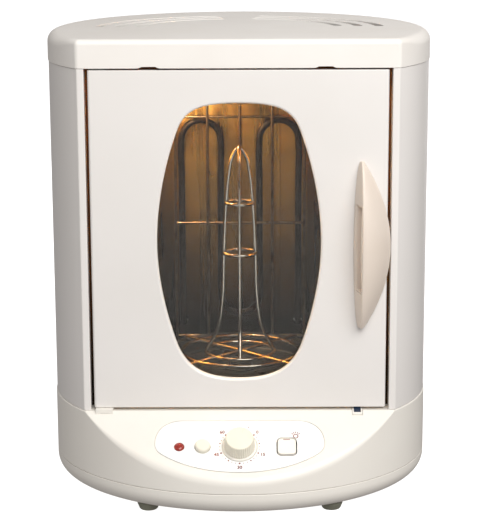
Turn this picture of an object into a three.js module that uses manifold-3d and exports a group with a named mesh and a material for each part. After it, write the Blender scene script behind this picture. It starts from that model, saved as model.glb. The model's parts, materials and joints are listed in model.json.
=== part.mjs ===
// A worktop vertical rotisserie oven, oval in plan with a flat front door.
// Millimetres, +Z up. The origin is on the surface it stands on, in the middle of the oval.
// The front faces -Y, and the door opens on a vertical pin at its left edge.
import * as THREE from "three";
import { mergeVertices } from "three/addons/utils/BufferGeometryUtils.js";
import Module from "manifold-3d";

const wasm = await Module();
wasm.setup();

// ---- driving dimensions ----
const HALF_WIDTH = 180.9; // body wrap, outside
const HALF_DEPTH = 157.4;
const OVERHANG = 0.7; // how far the top cover and the base stand proud of the wrap
const FOOT_HEIGHT = 8;
const SEAM_Z = 28.2; // between the bottom pan and the base housing
const BASE_TOP_Z = 89;
const COVER_Z = 412.5; // lower edge of the top cover
const COVER_EDGE_Z = 440.2; // rim of the top cover, halfway back
const COVER_RISE = 0.015; // the cover climbs by this share of the way back
const CROWN = 1; // how far the top cover domes up
const COVER_ROUND = 10; // sides and back
const COVER_FRONT_ROUND = 5;
const BASE_ROUND = 16;
const FRONT_Y = -92; // outside face of the door
const GAP = 0.3; // between pieces that only just touch

const DOOR = { halfWidth: 137.3, bottom: 91.8, top: 410.9, depth: 11, skin: 2.5 };
const HINGE = { x: -129.5, y: -85, radius: 2.5 };
const WINDOW = { z: 250, halfWidth: 76, halfHeight: 130.4 };
const SLOPE = THREE.MathUtils.degToRad(36.5); // control panel, from the horizontal
const SLOPE_TOP = { y: -92, z: 90 }; // top edge of the sloping face
const CONTROL_Y = -43.3; // the row of controls, measured down the slope
const KNOB_X = 0;
const BUTTON_X = -34.4;
const LAMP_X = -56.3;
const SWITCH_X = 43.8;
const CAVITY = { halfWidth: 164, halfDepth: 142, floor: 93, ceiling: 407, sheet: 1.2 };
const FRAME_Y = -75; // sheet behind the door, with the mouth of the cavity
const MOUTH = { halfWidth: 130, bottom: 97, top: 403, corner: 20 };
const TURN_Y = 12; // axis of the turntable
const HANDLE = { ridgeX: 112.8, reach: 27.4, z: 247, halfLength: 80, bluntZ: 170.6, depth: 27 };
const SCOOP = { front: -113, back: -96.5, nearX: 113.5, farX: 124, low: 206, high: 288 };
const FOOT = { x: 86, y: 115, radius: 10.8 };
const LAMP_AT = { x: -70, y: 30 };
const VENTS = { shares: [0.53, 0.64, 0.75], halfDepth: 134, startY: 12.5, halfSlot: 4.2 };
const OVAL_SEGMENTS = 48;

// ---- solids: closed geometry in, closed geometry out ----
function solidOf(geometry) {
  const bare = geometry.clone();
  bare.deleteAttribute("normal");
  bare.deleteAttribute("uv");
  const merged = mergeVertices(bare, 1e-4);
  const faces = [];
  const index = merged.index.array;
  for (let i = 0; i < index.length; i += 3) {
    const [a, b, c] = [index[i], index[i + 1], index[i + 2]];
    if (a !== b && b !== c && c !== a) faces.push(a, b, c);
  }
  const vertProperties = merged.attributes.position.array;
  const made = new wasm.Manifold(
    new wasm.Mesh({ numProp: 3, vertProperties, triVerts: new Uint32Array(faces) }),
  );
  if (made.volume() > 0) return made;
  const turned = new Uint32Array(faces.slice().reverse());
  return new wasm.Manifold(new wasm.Mesh({ numProp: 3, vertProperties, triVerts: turned }));
}

function geometryOf(solid) {
  const mesh = solid.getMesh();
  return new THREE.BufferGeometry()
    .setAttribute("position", new THREE.BufferAttribute(new Float32Array(mesh.vertProperties), 3))
    .setIndex(new THREE.BufferAttribute(new Uint32Array(mesh.triVerts), 1));
}

const combine = (operation, first, others) =>
  geometryOf(others.reduce((sum, next) => sum[operation](solidOf(next)), solidOf(first)));
const join = (first, ...others) => combine("add", first, others);
const cut = (first, ...others) => combine("subtract", first, others);
const common = (first, ...others) => combine("intersect", first, others);

// ---- basic shapes ----
function box(x, y, z) {
  return new THREE.BoxGeometry(x[1] - x[0], y[1] - y[0], z[1] - z[0]).translate(
    (x[0] + x[1]) / 2,
    (y[0] + y[1]) / 2,
    (z[0] + z[1]) / 2,
  );
}

// A round bar along Z from low to high.
function bar(radius, low, high, sides = 16) {
  return new THREE.CylinderGeometry(radius, radius, high - low, sides)
    .rotateX(Math.PI / 2)
    .translate(0, 0, (low + high) / 2);
}

// Turns a profile of [radius, z] about Z.
function turned(profile, sides = 32) {
  const points = profile.map(([radius, z]) => new THREE.Vector2(radius, z));
  return new THREE.LatheGeometry(points, sides).rotateX(Math.PI / 2);
}

// The same, drawn out to the oven's oval; radius is measured along X.
const oval = (profile) => turned(profile, OVAL_SEGMENTS).scale(1, HALF_DEPTH / HALF_WIDTH, 1);

// A quarter round of points from one radius and height to the next.
function quarterRound(centreX, centreZ, radius, fromAngle, steps = 4) {
  return Array.from({ length: steps + 1 }, (_, i) => {
    const angle = fromAngle - (i / steps) * (Math.PI / 2);
    return [centreX + radius * Math.cos(angle), centreZ + radius * Math.sin(angle)];
  });
}

// A flat shape in X and Y, thickened from low to high along Z.
function slab(shape, low, high, curveSegments = 8) {
  const options = { depth: high - low, bevelEnabled: false, curveSegments };
  return new THREE.ExtrudeGeometry(shape, options).translate(0, 0, low);
}

// A flat shape drawn in X and Z, thickened along Y from front to back.
const upright = (shape, front, back, curveSegments = 8) =>
  slab(shape, -back, -front, curveSegments).rotateX(Math.PI / 2);

function roundedRectangle(x0, x1, y0, y1, r) {
  const shape = new THREE.Shape();
  shape.moveTo(x0 + r, y0).lineTo(x1 - r, y0);
  shape.absarc(x1 - r, y0 + r, r, -Math.PI / 2, 0);
  shape.absarc(x1 - r, y1 - r, r, 0, Math.PI / 2);
  shape.absarc(x0 + r, y1 - r, r, Math.PI / 2, Math.PI);
  shape.absarc(x0 + r, y0 + r, r, Math.PI, Math.PI * 1.5);
  return shape;
}

function tube(points, radius, steps, sides = 6) {
  const section = new THREE.Shape(
    Array.from({ length: sides }, (_, i) => {
      const angle = (i / sides) * Math.PI * 2;
      return new THREE.Vector2(radius * Math.cos(angle), radius * Math.sin(angle));
    }),
  );
  const path = new THREE.CatmullRomCurve3(points.map((p) => new THREE.Vector3(...p)), false, "centripetal");
  return new THREE.ExtrudeGeometry(section, { steps, extrudePath: path, bevelEnabled: false });
}

// Skins closed rings of points, the first and last ring being filled in.
function loft(rings) {
  const count = rings[0].length;
  const position = rings.flat(2);
  const index = [];
  rings.slice(1).forEach((_, r) => {
    for (let i = 0; i < count; i++) {
      const [a, b] = [r * count + i, r * count + ((i + 1) % count)];
      index.push(a, b, b + count, a, b + count, a + count);
    }
  });
  const last = (rings.length - 1) * count;
  for (let i = 1; i < count - 1; i++) {
    index.push(0, i + 1, i, last, last + i, last + i + 1);
  }
  return new THREE.BufferGeometry()
    .setAttribute("position", new THREE.Float32BufferAttribute(position, 3))
    .setIndex(index);
}

// ---- materials ----
const finish = (color, roughness, metalness = 0) =>
  new THREE.MeshStandardMaterial({ color, roughness, metalness });
const WHITE_PLASTIC = finish(0xf1efe9, 0.35);
const WHITE_ENAMEL = finish(0xf3f2ee, 0.3);
const CREAM_PLASTIC = finish(0xe9e1d3, 0.4);
const PANEL_PRINT = finish(0xfbfbf9, 0.3);
const GREY_RUBBER = finish(0x8c8c7d, 0.8);
const GOLD_SHEET = finish(0xa8824a, 0.3, 0.9);
const STEEL = finish(0x9b9b98, 0.35, 0.9);
const CHROME = finish(0xd8d8d6, 0.12, 1);
const DARK_ENAMEL = finish(0x23262a, 0.35);
const GLASS = finish(0xcfd6d4, 0.05);
const RED_LENS = finish(0xb8483c, 0.2);
const DARK_PLASTIC = finish(0x2a3340, 0.4);
const CERAMIC = finish(0xe6e2d8, 0.6);
const HEATER = finish(0x3a332e, 0.55, 0.5);

const oven = new THREE.Group();
function add(name, geometry, material, parent = oven) {
  const mesh = new THREE.Mesh(geometryOf(solidOf(geometry)), material);
  mesh.name = name;
  parent.add(mesh);
  return mesh;
}

// ---- outer casing ----
const COVER_RADIUS = HALF_WIDTH + OVERHANG;

// The domed lid with its rounded rim, offset inwards, climbing to the back and squared off at the front.
function coverBlock(inset, bottom, steps = 4) {
  const rim = COVER_RADIUS - COVER_ROUND;
  const foot = bottom - 10;
  const crown = [
    [0, COVER_EDGE_Z + CROWN - inset],
    [rim * 0.6, COVER_EDGE_Z + CROWN * 0.65 - inset],
  ];
  const edge = quarterRound(rim, COVER_EDGE_Z - COVER_ROUND, COVER_ROUND - inset, Math.PI / 2, steps);
  const block = oval([[0, foot], ...crown, ...edge, [COVER_RADIUS - inset, foot], [0, foot]]);
  block.applyMatrix4(new THREE.Matrix4().set(1, 0, 0, 0, 0, 1, 0, 0, 0, COVER_RISE, 1, 0, 0, 0, 0, 1));
  const inFront = box([-300, 300], [-300, FRONT_Y - OVERHANG + inset], [300, 500]);
  return cut(block, inFront, box([-300, 300], [-300, 300], [300, bottom]));
}

// What the rounding of the cover's front edge takes away.
function coverFrontWaste() {
  const y = FRONT_Y - OVERHANG + COVER_FRONT_ROUND;
  const z = COVER_EDGE_Z + COVER_RISE * y + CROWN * 0.6 - COVER_FRONT_ROUND;
  const corner = box([-200, 200], [y - 9, y], [z, z + 9]);
  const round = bar(COVER_FRONT_ROUND, -210, 210, 24).rotateY(Math.PI / 2).translate(0, y, z);
  return cut(corner, round);
}

// One curved vent slot, at a share of the size of the vents' own oval.
function ventSlot(share, side) {
  const [start, end] = [Math.asin(VENTS.startY / (VENTS.halfDepth * share)), THREE.MathUtils.degToRad(80)];
  const half = VENTS.halfSlot / HALF_WIDTH;
  const arc = (s, from, to, clockwise) =>
    shape.absellipse(0, 0, HALF_WIDTH * s, VENTS.halfDepth * s, from, to, clockwise);
  const shape = new THREE.Shape();
  arc(share + half, start, end, false);
  arc(share - half, end, start, true);
  return slab(shape, 400, 460, 5).scale(side, 1, 1);
}

// A tab that hangs from the cover's wall into the wrap, and keeps the cover in place on it.
function coverTab(reach) {
  const root = box([reach - 6.6, reach - 2.3], [-9, 9], [COVER_Z + 0.4, COVER_Z + 8]);
  return join(root, box([reach - 6.6, reach - 3.8], [-9, 9], [COVER_Z - 8, COVER_Z + 1]));
}

function topCover() {
  const coverDepth = (COVER_RADIUS * HALF_DEPTH) / HALF_WIDTH;
  const tabs = [
    coverTab(COVER_RADIUS),
    coverTab(coverDepth).rotateZ(Math.PI / 2),
    coverTab(COVER_RADIUS).rotateZ(Math.PI),
  ];
  const shell = join(cut(coverBlock(0, COVER_Z), coverBlock(2.5, COVER_Z - 10, 2)), ...tabs);
  const slots = VENTS.shares.flatMap((share) => [ventSlot(share, 1), ventSlot(share, -1)]);
  const notches = [-81.5, 79.5].map((x) => box([x - 10, x + 10], [-100, -85], [COVER_Z - 1, COVER_Z + 1.5]));
  return cut(shell, coverFrontWaste(), ...slots, ...notches);
}

const WRAP_SCREW = { x: 110, z: 101 };

// Stands geometry, drawn pointing up, on the back of the wrap so that it points straight out of it.
function onOval(geometry, x, z) {
  const y = HALF_DEPTH * Math.sqrt(1 - (x / HALF_WIDTH) ** 2);
  const outward = Math.atan2(y / HALF_DEPTH ** 2, x / HALF_WIDTH ** 2);
  return geometry.rotateY(Math.PI / 2).rotateZ(outward).translate(x, y, z);
}

// An open ring of sheet that follows the oval from one side of the front round to the other.
function openOval(halfWidth, halfDepth, sheet, frontY, lips) {
  const shape = new THREE.Shape();
  const start = Math.asin(frontY / halfDepth);
  const inner = Math.asin((frontY + sheet) / (halfDepth - sheet));
  lips.forEach(([x, y], i) => (i ? shape.lineTo(x, y) : shape.moveTo(x, y)));
  shape.absellipse(0, 0, halfWidth, halfDepth, start, Math.PI - start, false);
  lips.toReversed().forEach(([x, y]) => shape.lineTo(-x, y));
  lips.forEach(([x, y]) => shape.lineTo(-x - sheet, y === lips[0][1] ? y : y + sheet));
  shape.absellipse(0, 0, halfWidth - sheet, halfDepth - sheet, Math.PI - inner, inner, true);
  lips.toReversed().forEach(([x, y]) => shape.lineTo(x + sheet, y === lips[0][1] ? y : y + sheet));
  return shape;
}

function bodyWrap() {
  const lips = [
    [140.5, FRAME_Y - GAP],
    [140.5, FRONT_Y],
  ];
  const sheet = openOval(HALF_WIDTH, HALF_DEPTH, 1, FRONT_Y, lips);
  const wrap = slab(sheet, BASE_TOP_Z + GAP, COVER_Z - GAP, 20);
  const louvres = [];
  for (const x of [-62, 0, 62]) {
    for (let row = 0; row < 5; row++) {
      louvres.push(box([x - 22, x + 22], [120, 180], [330 + row * 12, 334 + row * 12]));
    }
  }
  const screwHoles = [-1, 1].map((side) => onOval(bar(2, -20, 20, 8), side * WRAP_SCREW.x, WRAP_SCREW.z));
  return cut(wrap, ...louvres, ...screwHoles);
}

// Everything above the sloping face, lowered by depth.
const aboveSlope = (depth) =>
  box([-300, 300], [-300, 200], [-depth, 300]).rotateX(SLOPE).translate(0, SLOPE_TOP.y, SLOPE_TOP.z);

// Puts geometry drawn on the sloping face (x across, y up the slope, z out of it) into the oven.
const onSlope = (geometry) => geometry.rotateX(SLOPE).translate(0, SLOPE_TOP.y, SLOPE_TOP.z);

function panelOutline(inset) {
  const shape = new THREE.Shape();
  const [side, top, low, corner] = [78.6 - inset, -14 - inset, -54.5, 25 - inset];
  shape.moveTo(-side + corner, top);
  shape.bezierCurveTo(-side + 8, top, -side, top - 12, -side, top - corner);
  shape.bezierCurveTo(-side, top - corner - 8, -side + 3, low + 5, -side + 11, low + inset);
  shape.quadraticCurveTo(-side / 2, -71.5 + inset, 0, -71.5 + inset);
  shape.quadraticCurveTo(side / 2, -71.5 + inset, side - 11, low + inset);
  shape.bezierCurveTo(side - 3, low + 5, side, top - corner - 8, side, top - corner);
  shape.bezierCurveTo(side, top - 12, side - 8, top, side - corner, top);
  return shape;
}

const SWITCH_HALF = { x: 9.6, y: 10.4, corner: 5 };
const ROCKER_PIVOT = -3;
const ROCKER_TILT = THREE.MathUtils.degToRad(5);
const switchOutline = (inset) =>
  roundedRectangle(
    SWITCH_X - SWITCH_HALF.x + inset,
    SWITCH_X + SWITCH_HALF.x - inset,
    CONTROL_Y - SWITCH_HALF.y + inset,
    CONTROL_Y + SWITCH_HALF.y - inset,
    SWITCH_HALF.corner - inset,
  );

const controlHoles = (knobHole) => [
  bar(knobHole, -8, 8, 24).translate(KNOB_X, CONTROL_Y, 0),
  bar(7.5, -8, 8, 20).translate(BUTTON_X, CONTROL_Y, 0),
  bar(4.9, -8, 8, 16).translate(LAMP_X, CONTROL_Y, 0),
  slab(switchOutline(0), -8, 8, 4),
];

function baseHousing() {
  const radius = HALF_WIDTH + OVERHANG;
  const block = (inset, low, high) =>
    cut(oval([[0, low], [radius - inset, low], [radius - inset, high], [0, high]]), aboveSlope(inset));
  const shell = cut(block(0, SEAM_Z + 0.2, BASE_TOP_Z), block(3, SEAM_Z - 5, BASE_TOP_Z - 3));
  const pocket = onSlope(slab(panelOutline(-0.4), -1.3, 4, 6));
  const holes = controlHoles(5).map(onSlope);
  const motorHole = bar(9, 70, 100).translate(0, TURN_Y, 0);
  const hingeHole = bar(HINGE.radius + 0.05, 84, 100, 12).translate(HINGE.x, HINGE.y, 0);
  const catchSlot = box([106, 116], [-98, -80], [83, 100]);
  const glandHole = onOval(bar(8, -20, 20, 20), GLAND.x, GLAND.z);
  const bosses = screwPlaces.map(([x, y]) => bar(5, FOOT_HEIGHT + 3.3, BASE_TOP_Z - 2.5, 10).translate(x, y, 0));
  const threads = screwPlaces.map(([x, y]) => bar(2.2, 0, 25, 8).translate(x, y, 0));
  return cut(join(shell, ...bosses), pocket, ...holes, motorHole, hingeHole, catchSlot, glandHole, ...threads);
}

function bottomPan() {
  const outer = HALF_WIDTH + OVERHANG;
  const pan = oval([
    [0, FOOT_HEIGHT],
    ...quarterRound(outer - BASE_ROUND, FOOT_HEIGHT + BASE_ROUND, BASE_ROUND, 0).toReversed(),
    [outer, SEAM_Z - 0.2],
    [outer - 3, SEAM_Z - 0.2],
    ...quarterRound(outer - BASE_ROUND, FOOT_HEIGHT + BASE_ROUND, BASE_ROUND - 3, 0, 2),
    [0, FOOT_HEIGHT + 3],
  ]);
  const vents = [-2, -1, 0, 1, 2].map((i) => box([-35, 35], [i * 14 - 2.5, i * 14 + 2.5], [0, 20]));
  const screws = screwPlaces.map(([x, y]) => bar(2.2, 0, 20, 10).translate(x, y, 0));
  return cut(pan, ...vents, ...screws);
}

const GLAND = { x: 100, z: 58 };
const screwPlaces = [-1, 1].flatMap((sx) => [-1, 1].map((sy) => [sx * 120, sy * 72]));

// A pan-head screw standing on its point, head up, with one slot.
function screw(headRadius, headHeight, shankRadius, length) {
  const body = turned([
    [0, -length],
    [shankRadius, -length],
    [shankRadius, 0],
    [headRadius, 0],
    [headRadius, headHeight * 0.5],
    [headRadius * 0.6, headHeight],
    [0, headHeight],
  ], 10);
  return cut(body, box([-headRadius * 0.55, headRadius * 0.55], [-0.5, 0.5], [headHeight * 0.45, 9]));
}

function addCasing() {
  add("top_cover", topCover(), WHITE_PLASTIC);
  add("body_wrap", bodyWrap(), WHITE_ENAMEL);
  add("base_housing", baseHousing(), WHITE_PLASTIC);
  add("bottom_pan", bottomPan(), WHITE_PLASTIC);
  const foot = turned([
    [0, 0], [7.4, 0], [8.8, 1.2], [FOOT.radius, 6], [FOOT.radius, FOOT_HEIGHT], [0, FOOT_HEIGHT],
  ], 20);
  const corners = { front_left: [-1, -1], front_right: [1, -1], rear_left: [-1, 1], rear_right: [1, 1] };
  for (const [where, [sx, sy]] of Object.entries(corners)) {
    add(`foot_${where}`, foot.clone().translate(sx * FOOT.x, sy * FOOT.y, 0), GREY_RUBBER);
    const pan = screw(3.6, 2, 2, 9).rotateX(Math.PI);
    add(`pan_screw_${where}`, pan.translate(sx * 120, sy * 72, FOOT_HEIGHT - GAP), STEEL);
  }
  for (const [where, side] of [["left", -1], ["right", 1]]) {
    const head = screw(3.6, 2, 1.7, 8).translate(0, 0, GAP);
    add(`wrap_screw_${where}`, onOval(head, side * WRAP_SCREW.x, WRAP_SCREW.z), STEEL);
  }
}

// ---- cavity ----
function ovalPlate(halfWidth, halfDepth, low, high) {
  const shape = new THREE.Shape();
  const start = Math.asin((FRAME_Y + 2) / halfDepth);
  shape.absellipse(0, 0, halfWidth, halfDepth, start, Math.PI - start, false);
  return slab(shape, low, high, 20);
}

const alongY = (radius, front, back, x, z) =>
  bar(radius, front, back, 10).rotateX(-Math.PI / 2).translate(x, 0, z);

function addCavity() {
  const { halfWidth, halfDepth, floor, ceiling, sheet } = CAVITY;
  const front = FRAME_Y + 1.5;
  const wall = slab(openOval(halfWidth, halfDepth, sheet, front, []), BASE_TOP_Z + GAP, ceiling + 4, 18);
  const leads = [-60, 60].map((x) => alongY(4.2, 100, 170, x, ELEMENT.low));
  add("cavity_liner", cut(wall, ...leads), GOLD_SHEET);
  const fit = sheet + 0.6;
  const shaftHole = bar(8, 80, 110).translate(0, TURN_Y, 0);
  const plate = (low) => ovalPlate(halfWidth - fit, halfDepth - fit, low, low + sheet);
  add("cavity_floor", cut(plate(floor), shaftHole), GOLD_SHEET);
  const lampHole = bar(13.5, 390, 420, 20).translate(LAMP_AT.x, LAMP_AT.y, 0);
  const cutoutHole = bar(3, 390, 420, 10).translate(60, 40, 0);
  add("cavity_ceiling", cut(plate(ceiling - sheet), lampHole, cutoutHole), GOLD_SHEET);
  const frame = new THREE.Shape();
  frame.moveTo(-146, 89.3).lineTo(146, 89.3).lineTo(146, 417).lineTo(-146, 417);
  frame.holes.push(roundedRectangle(-MOUTH.halfWidth, MOUTH.halfWidth, MOUTH.bottom, MOUTH.top, MOUTH.corner));
  add("front_frame", upright(frame, FRAME_Y, FRAME_Y + 1.2, 5), GOLD_SHEET);
}

// ---- heating element on the back wall ----
const ELEMENT = { low: 120, high: 335, y: 113, endY: 144, radius: 3.3, pitch: 40 };

// Four runs up and down with round bends, the ends going back through the liner.
function elementPath() {
  const { low, high, y, endY, pitch } = ELEMENT;
  const bend = pitch / 2;
  const points = [[-1.5 * pitch, endY, low], [-1.5 * pitch, y + 10, low], [-1.5 * pitch, y + 2, low + 3]];
  for (let run = 0; run < 4; run++) {
    const [x, up] = [(run - 1.5) * pitch, run % 2 === 0];
    const ends = [low + bend + 12, high - bend];
    const [from, to] = up ? ends : ends.toReversed();
    points.push([x, y, from], [x, y, (from + to) / 2], [x, y, to]);
    if (run < 3) {
      const [end, way] = [to, up ? 1 : -1];
      for (const angle of [45, 90, 135].map(THREE.MathUtils.degToRad)) {
        points.push([x + bend - bend * Math.cos(angle), y, end + way * bend * Math.sin(angle)]);
      }
    }
  }
  points.push([1.5 * pitch, y + 2, low + 3], [1.5 * pitch, y + 10, low], [1.5 * pitch, endY, low]);
  return points;
}

function addHeater() {
  add("heating_element", tube(elementPath(), ELEMENT.radius, 72), HEATER);
  const slots = [-60, 60].map((x) => alongY(5, 100, 170, x, ELEMENT.low));
  const reflector = join(
    box([-70, 70], [124.4, 125.4], [104, 352]),
    box([-70, 70], [116, 125.4], [352, 353]),
  );
  add("heat_reflector", cut(reflector, ...slots), GOLD_SHEET);
  const guardY = 100;
  const wire = (from, to) => tube([from, to], 1.4, 1);
  const uprights = [-66, -33, 0, 33, 66].map((x) => wire([x, guardY, 98], [x, guardY, 352]));
  const rails = [110, 230, 340].map((z) => wire([-67, guardY, z], [67, guardY, z]));
  const stays = [-66, 66].flatMap((x) => [110, 340].map((z) => wire([x, guardY, z], [x, 124.1, z])));
  add("element_guard", join(uprights[0], ...rails, ...uprights.slice(1), ...stays), STEEL);
  for (const [where, x] of [["left", -60], ["right", 60]]) {
    const bush = turned([[3.7, 0], [8, 0], [8, 4], [3.9, 6], [3.7, 6], [3.7, 0]], 16);
    add(`element_bush_${where}`, bush.rotateX(-Math.PI / 2).translate(x, 135.4, ELEMENT.low), CERAMIC);
  }
}

// ---- cooking lamp in the ceiling ----
function addCookingLamp() {
  const { x, y } = LAMP_AT;
  const under = CAVITY.ceiling - CAVITY.sheet;
  const dome = turned([
    [19, under - 0.2], [22, under - 0.2], [22, under - 3], [20, under - 11], [12, under - 17], [0, under - 19],
    [0, under - 17], [11, under - 15], [18, under - 10], [19, under - 3], [19, under - 0.2],
  ], 24);
  add("lamp_cover", dome.translate(x, y, 0), GLASS);
  const bulb = turned([
    [0, 392], [5, 393.2], [8.4, 397], [9, 401], [7, 405], [5, 408], [5, 411.6], [0, 411.6],
  ], 20);
  add("lamp_bulb", bulb.translate(x, y, 0), GLASS);
  const socket = cut(bar(13, 407.3, 430, 20), bar(9.5, 400, 411.9, 16));
  add("lamp_socket", socket.translate(x, y, 0), CERAMIC);
  const cutout = join(bar(8, 407.3, 413, 16), bar(2.6, 404.4, 408, 10));
  add("thermal_cutout", cutout.translate(60, 40, 0), CERAMIC);
}

// ---- door ----
// The barrel-shaped window: bowed sides, a flat top and a rounder bottom.
function windowOutline(grow) {
  const [w, h] = [WINDOW.halfWidth + grow, WINDOW.halfHeight + grow];
  const shape = new THREE.Shape();
  shape.moveTo(0, WINDOW.z - h);
  const half = (side) => [
    [side * w * 0.42, -h, side * w * 0.63, -h * 0.93, side * w * 0.755, -h * 0.76],
    [side * w * 0.88, -h * 0.56, side * w, -h * 0.28, side * w, 0],
    [side * w, h * 0.3, side * w * 0.87, h * 0.62, side * w * 0.725, h * 0.83],
    [side * w * 0.62, h * 0.965, side * w * 0.42, h, 0, h],
  ];
  const curve = (c) =>
    shape.bezierCurveTo(c[0], WINDOW.z + c[1], c[2], WINDOW.z + c[3], c[4], WINDOW.z + c[5]);
  half(1).forEach(curve);
  const back = half(-1).toReversed();
  const starts = [...half(-1).map((c) => [c[4], c[5]]).toReversed().slice(1), [0, -h]];
  back.forEach((c, i) => curve([c[2], c[3], c[0], c[1], ...starts[i]]));
  return shape;
}

function doorPanel() {
  const { halfWidth, bottom, top, depth, skin } = DOOR;
  const back = FRONT_Y + depth;
  const block = slab(roundedRectangle(-halfWidth, halfWidth, FRONT_Y, back + 3, 2.5), bottom, top, 3);
  const backOff = box([-200, 200], [back, back + 20], [0, 500]);
  const inside = [
    [-halfWidth + skin, halfWidth - skin],
    [FRONT_Y + skin, back + 10],
    [bottom + skin, top - skin],
  ];
  const tray = cut(block, backOff, box(...inside));
  const collar = upright(windowOutline(3), FRONT_Y + 1, GLASS_Y[0] - GAP, 7);
  const window = upright(windowOutline(0), FRONT_Y - 5, FRONT_Y + 20, 7);
  const pinHoles = bar(HINGE.radius + 0.4, 0, 500, 12).translate(HINGE.x, HINGE.y, 0);
  const screwHoles = HANDLE_SCREWS.map((z) => alongY(2.3, -100, -80, HANDLE_SCREW_X, z));
  return cut(join(tray, collar), window, pinHoles, ...screwHoles);
}

const GLASS_Y = [-85.4, -81.4];
const HANDLE_SCREWS = [192, 302];
const HANDLE_SCREW_X = 116;

// A section of the handle across Z: its left wall leans in to a straight ridge, and its broad face
// falls away from the ridge to a thin, bowed right edge.
function handleSection(z) {
  const bow = 1 - ((z - HANDLE.z) / HANDLE.halfLength) ** 2;
  const rise = 4 + (HANDLE.depth - 4) * bow ** 0.6;
  const leftX = HANDLE.ridgeX - 1 - 6 * Math.sqrt(bow);
  const reach = 2 + (HANDLE.reach - 2) * bow;
  const at = (x, out) => [x, FRONT_Y - GAP - out, z];
  return [
    at(leftX, 0),
    at(HANDLE.ridgeX + reach * 0.9, 0),
    at(HANDLE.ridgeX + reach, 1),
    at(HANDLE.ridgeX + reach, 2.6),
    at(HANDLE.ridgeX + reach * 0.8, 2.6 + (rise - 2.6) * 0.34),
    at(HANDLE.ridgeX + reach * 0.5, 2.6 + (rise - 2.6) * 0.68),
    at(HANDLE.ridgeX + reach * 0.22, 2.6 + (rise - 2.6) * 0.92),
    at(HANDLE.ridgeX + 1.2, rise),
    at(HANDLE.ridgeX, rise - 0.5),
  ];
}

// The finger recess, drawn in plan; inset makes it smaller all round.
function scoop(inset, mouthX) {
  const [front, back] = [SCOOP.front + inset, SCOOP.back - inset];
  const shape = new THREE.Shape();
  shape.moveTo(mouthX, front).lineTo(SCOOP.nearX - inset, front).lineTo(SCOOP.farX - inset, front + 9);
  shape.lineTo(SCOOP.farX - inset, back).lineTo(mouthX, back);
  return slab(shape, SCOOP.low + inset, SCOOP.high - inset);
}

function addHandle() {
  const bluntEnd = (HANDLE.bluntZ - HANDLE.z) / HANDLE.halfLength;
  const steps = [bluntEnd, -0.88, -0.72, -0.5, -0.25, 0, 0.25, 0.5, 0.72, 0.88, 0.97, 1];
  const body = loft(steps.map((s) => handleSection(HANDLE.z + s * HANDLE.halfLength)));
  const screws = HANDLE_SCREWS.map((z) => alongY(1.9, -100, -85, HANDLE_SCREW_X, z));
  add("door_handle", cut(body, scoop(0, 90), ...screws), CREAM_PLASTIC);
  const cup = cut(scoop(GAP, 90.5), scoop(1.5, 90));
  const setBack = loft(steps.map((s) =>
    handleSection(HANDLE.z + s * HANDLE.halfLength).map(([x, y, z]) => [x + 1, y, z])));
  add("handle_insert", common(cup, setBack), CREAM_PLASTIC);
}

function addDoor() {
  add("door_panel", doorPanel(), WHITE_ENAMEL);
  add("door_glass", box([-92, 92], GLASS_Y, [WINDOW.z - 146, WINDOW.z + 146]), GLASS);
  const fit = DOOR.skin + GAP;
  const [side, low, high] = [DOOR.halfWidth - fit, DOOR.bottom + fit, DOOR.top - fit];
  const retainer = roundedRectangle(-side, side, low, high, 2);
  retainer.holes.push(windowOutline(5));
  add("glass_retainer", upright(retainer, GLASS_Y[1] + GAP, GLASS_Y[1] + GAP + 2, 7), GOLD_SHEET);
  addHandle();
  HANDLE_SCREWS.forEach((z, i) => {
    const bolt = screw(3.6, 2, 1.7, 8).rotateX(-Math.PI / 2);
    const headY = FRONT_Y + DOOR.skin + GAP / 3;
    add(`handle_screw_${i ? "upper" : "lower"}`, bolt.translate(HANDLE_SCREW_X, headY, z), STEEL);
  });
}

// ---- hinge pins and catch ----
function addHinges() {
  const pin = (low, high) => bar(HINGE.radius, low, high, 12).translate(HINGE.x, HINGE.y, 0);
  const clearHole = bar(HINGE.radius + 0.05, 0, 500, 12).translate(HINGE.x, HINGE.y, 0);
  const sill = box([-136, -119.5], [-96.5, -80], [86.5, DOOR.bottom - 0.4]);
  const deck = box([-200, 0], [-94, 0], [0, BASE_TOP_Z + GAP]);
  const slope = onSlope(box([-200, 0], [-60, -1], [-40, GAP]));
  add("lower_hinge_bracket", cut(sill, deck, slope, clearHole), WHITE_PLASTIC);
  add("lower_hinge_pin", pin(84, DOOR.bottom + 11), STEEL);
  const tab = box([-136, -119.5], [-84, FRAME_Y - GAP], [DOOR.top + 0.4, COVER_Z + 4]);
  const arm = join(box([-136, -119.5], [-88.5, -80], [DOOR.top + 0.4, COVER_Z + 0.6]), tab);
  add("upper_hinge_bracket", cut(arm, clearHole), STEEL);
  add("upper_hinge_pin", pin(DOOR.top - 11, COVER_Z + 0.6), STEEL);
  const holder = cut(box([106.3, 115.7], [-96.5, -80.4], [83.5, BASE_TOP_Z + 0.8]), aboveSlope(0));
  add("catch_holder", cut(holder, box([107.7, 114.3], [-95, -82], [85.6, 100])), WHITE_PLASTIC);
  const magnet = box([108, 114], [-94.7, -82.3], [85.9, DOOR.bottom - 0.5]);
  add("magnetic_catch", cut(magnet, aboveSlope(0)), DARK_PLASTIC);
}

// ---- controls on the sloping face; this group's z comes straight out of it ----
function fluted(radiusLow, radiusHigh, low, high, flutes) {
  const ring = (radius, z) =>
    Array.from({ length: flutes * 2 }, (_, i) => {
      const [angle, r] = [(i / (flutes * 2)) * Math.PI * 2, radius - (i % 2) * 0.5];
      return [r * Math.cos(angle), r * Math.sin(angle), z];
    });
  return loft([ring(radiusLow, low), ring(radiusHigh, high - 1.2), ring(radiusHigh - 1.6, high)]);
}

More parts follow.
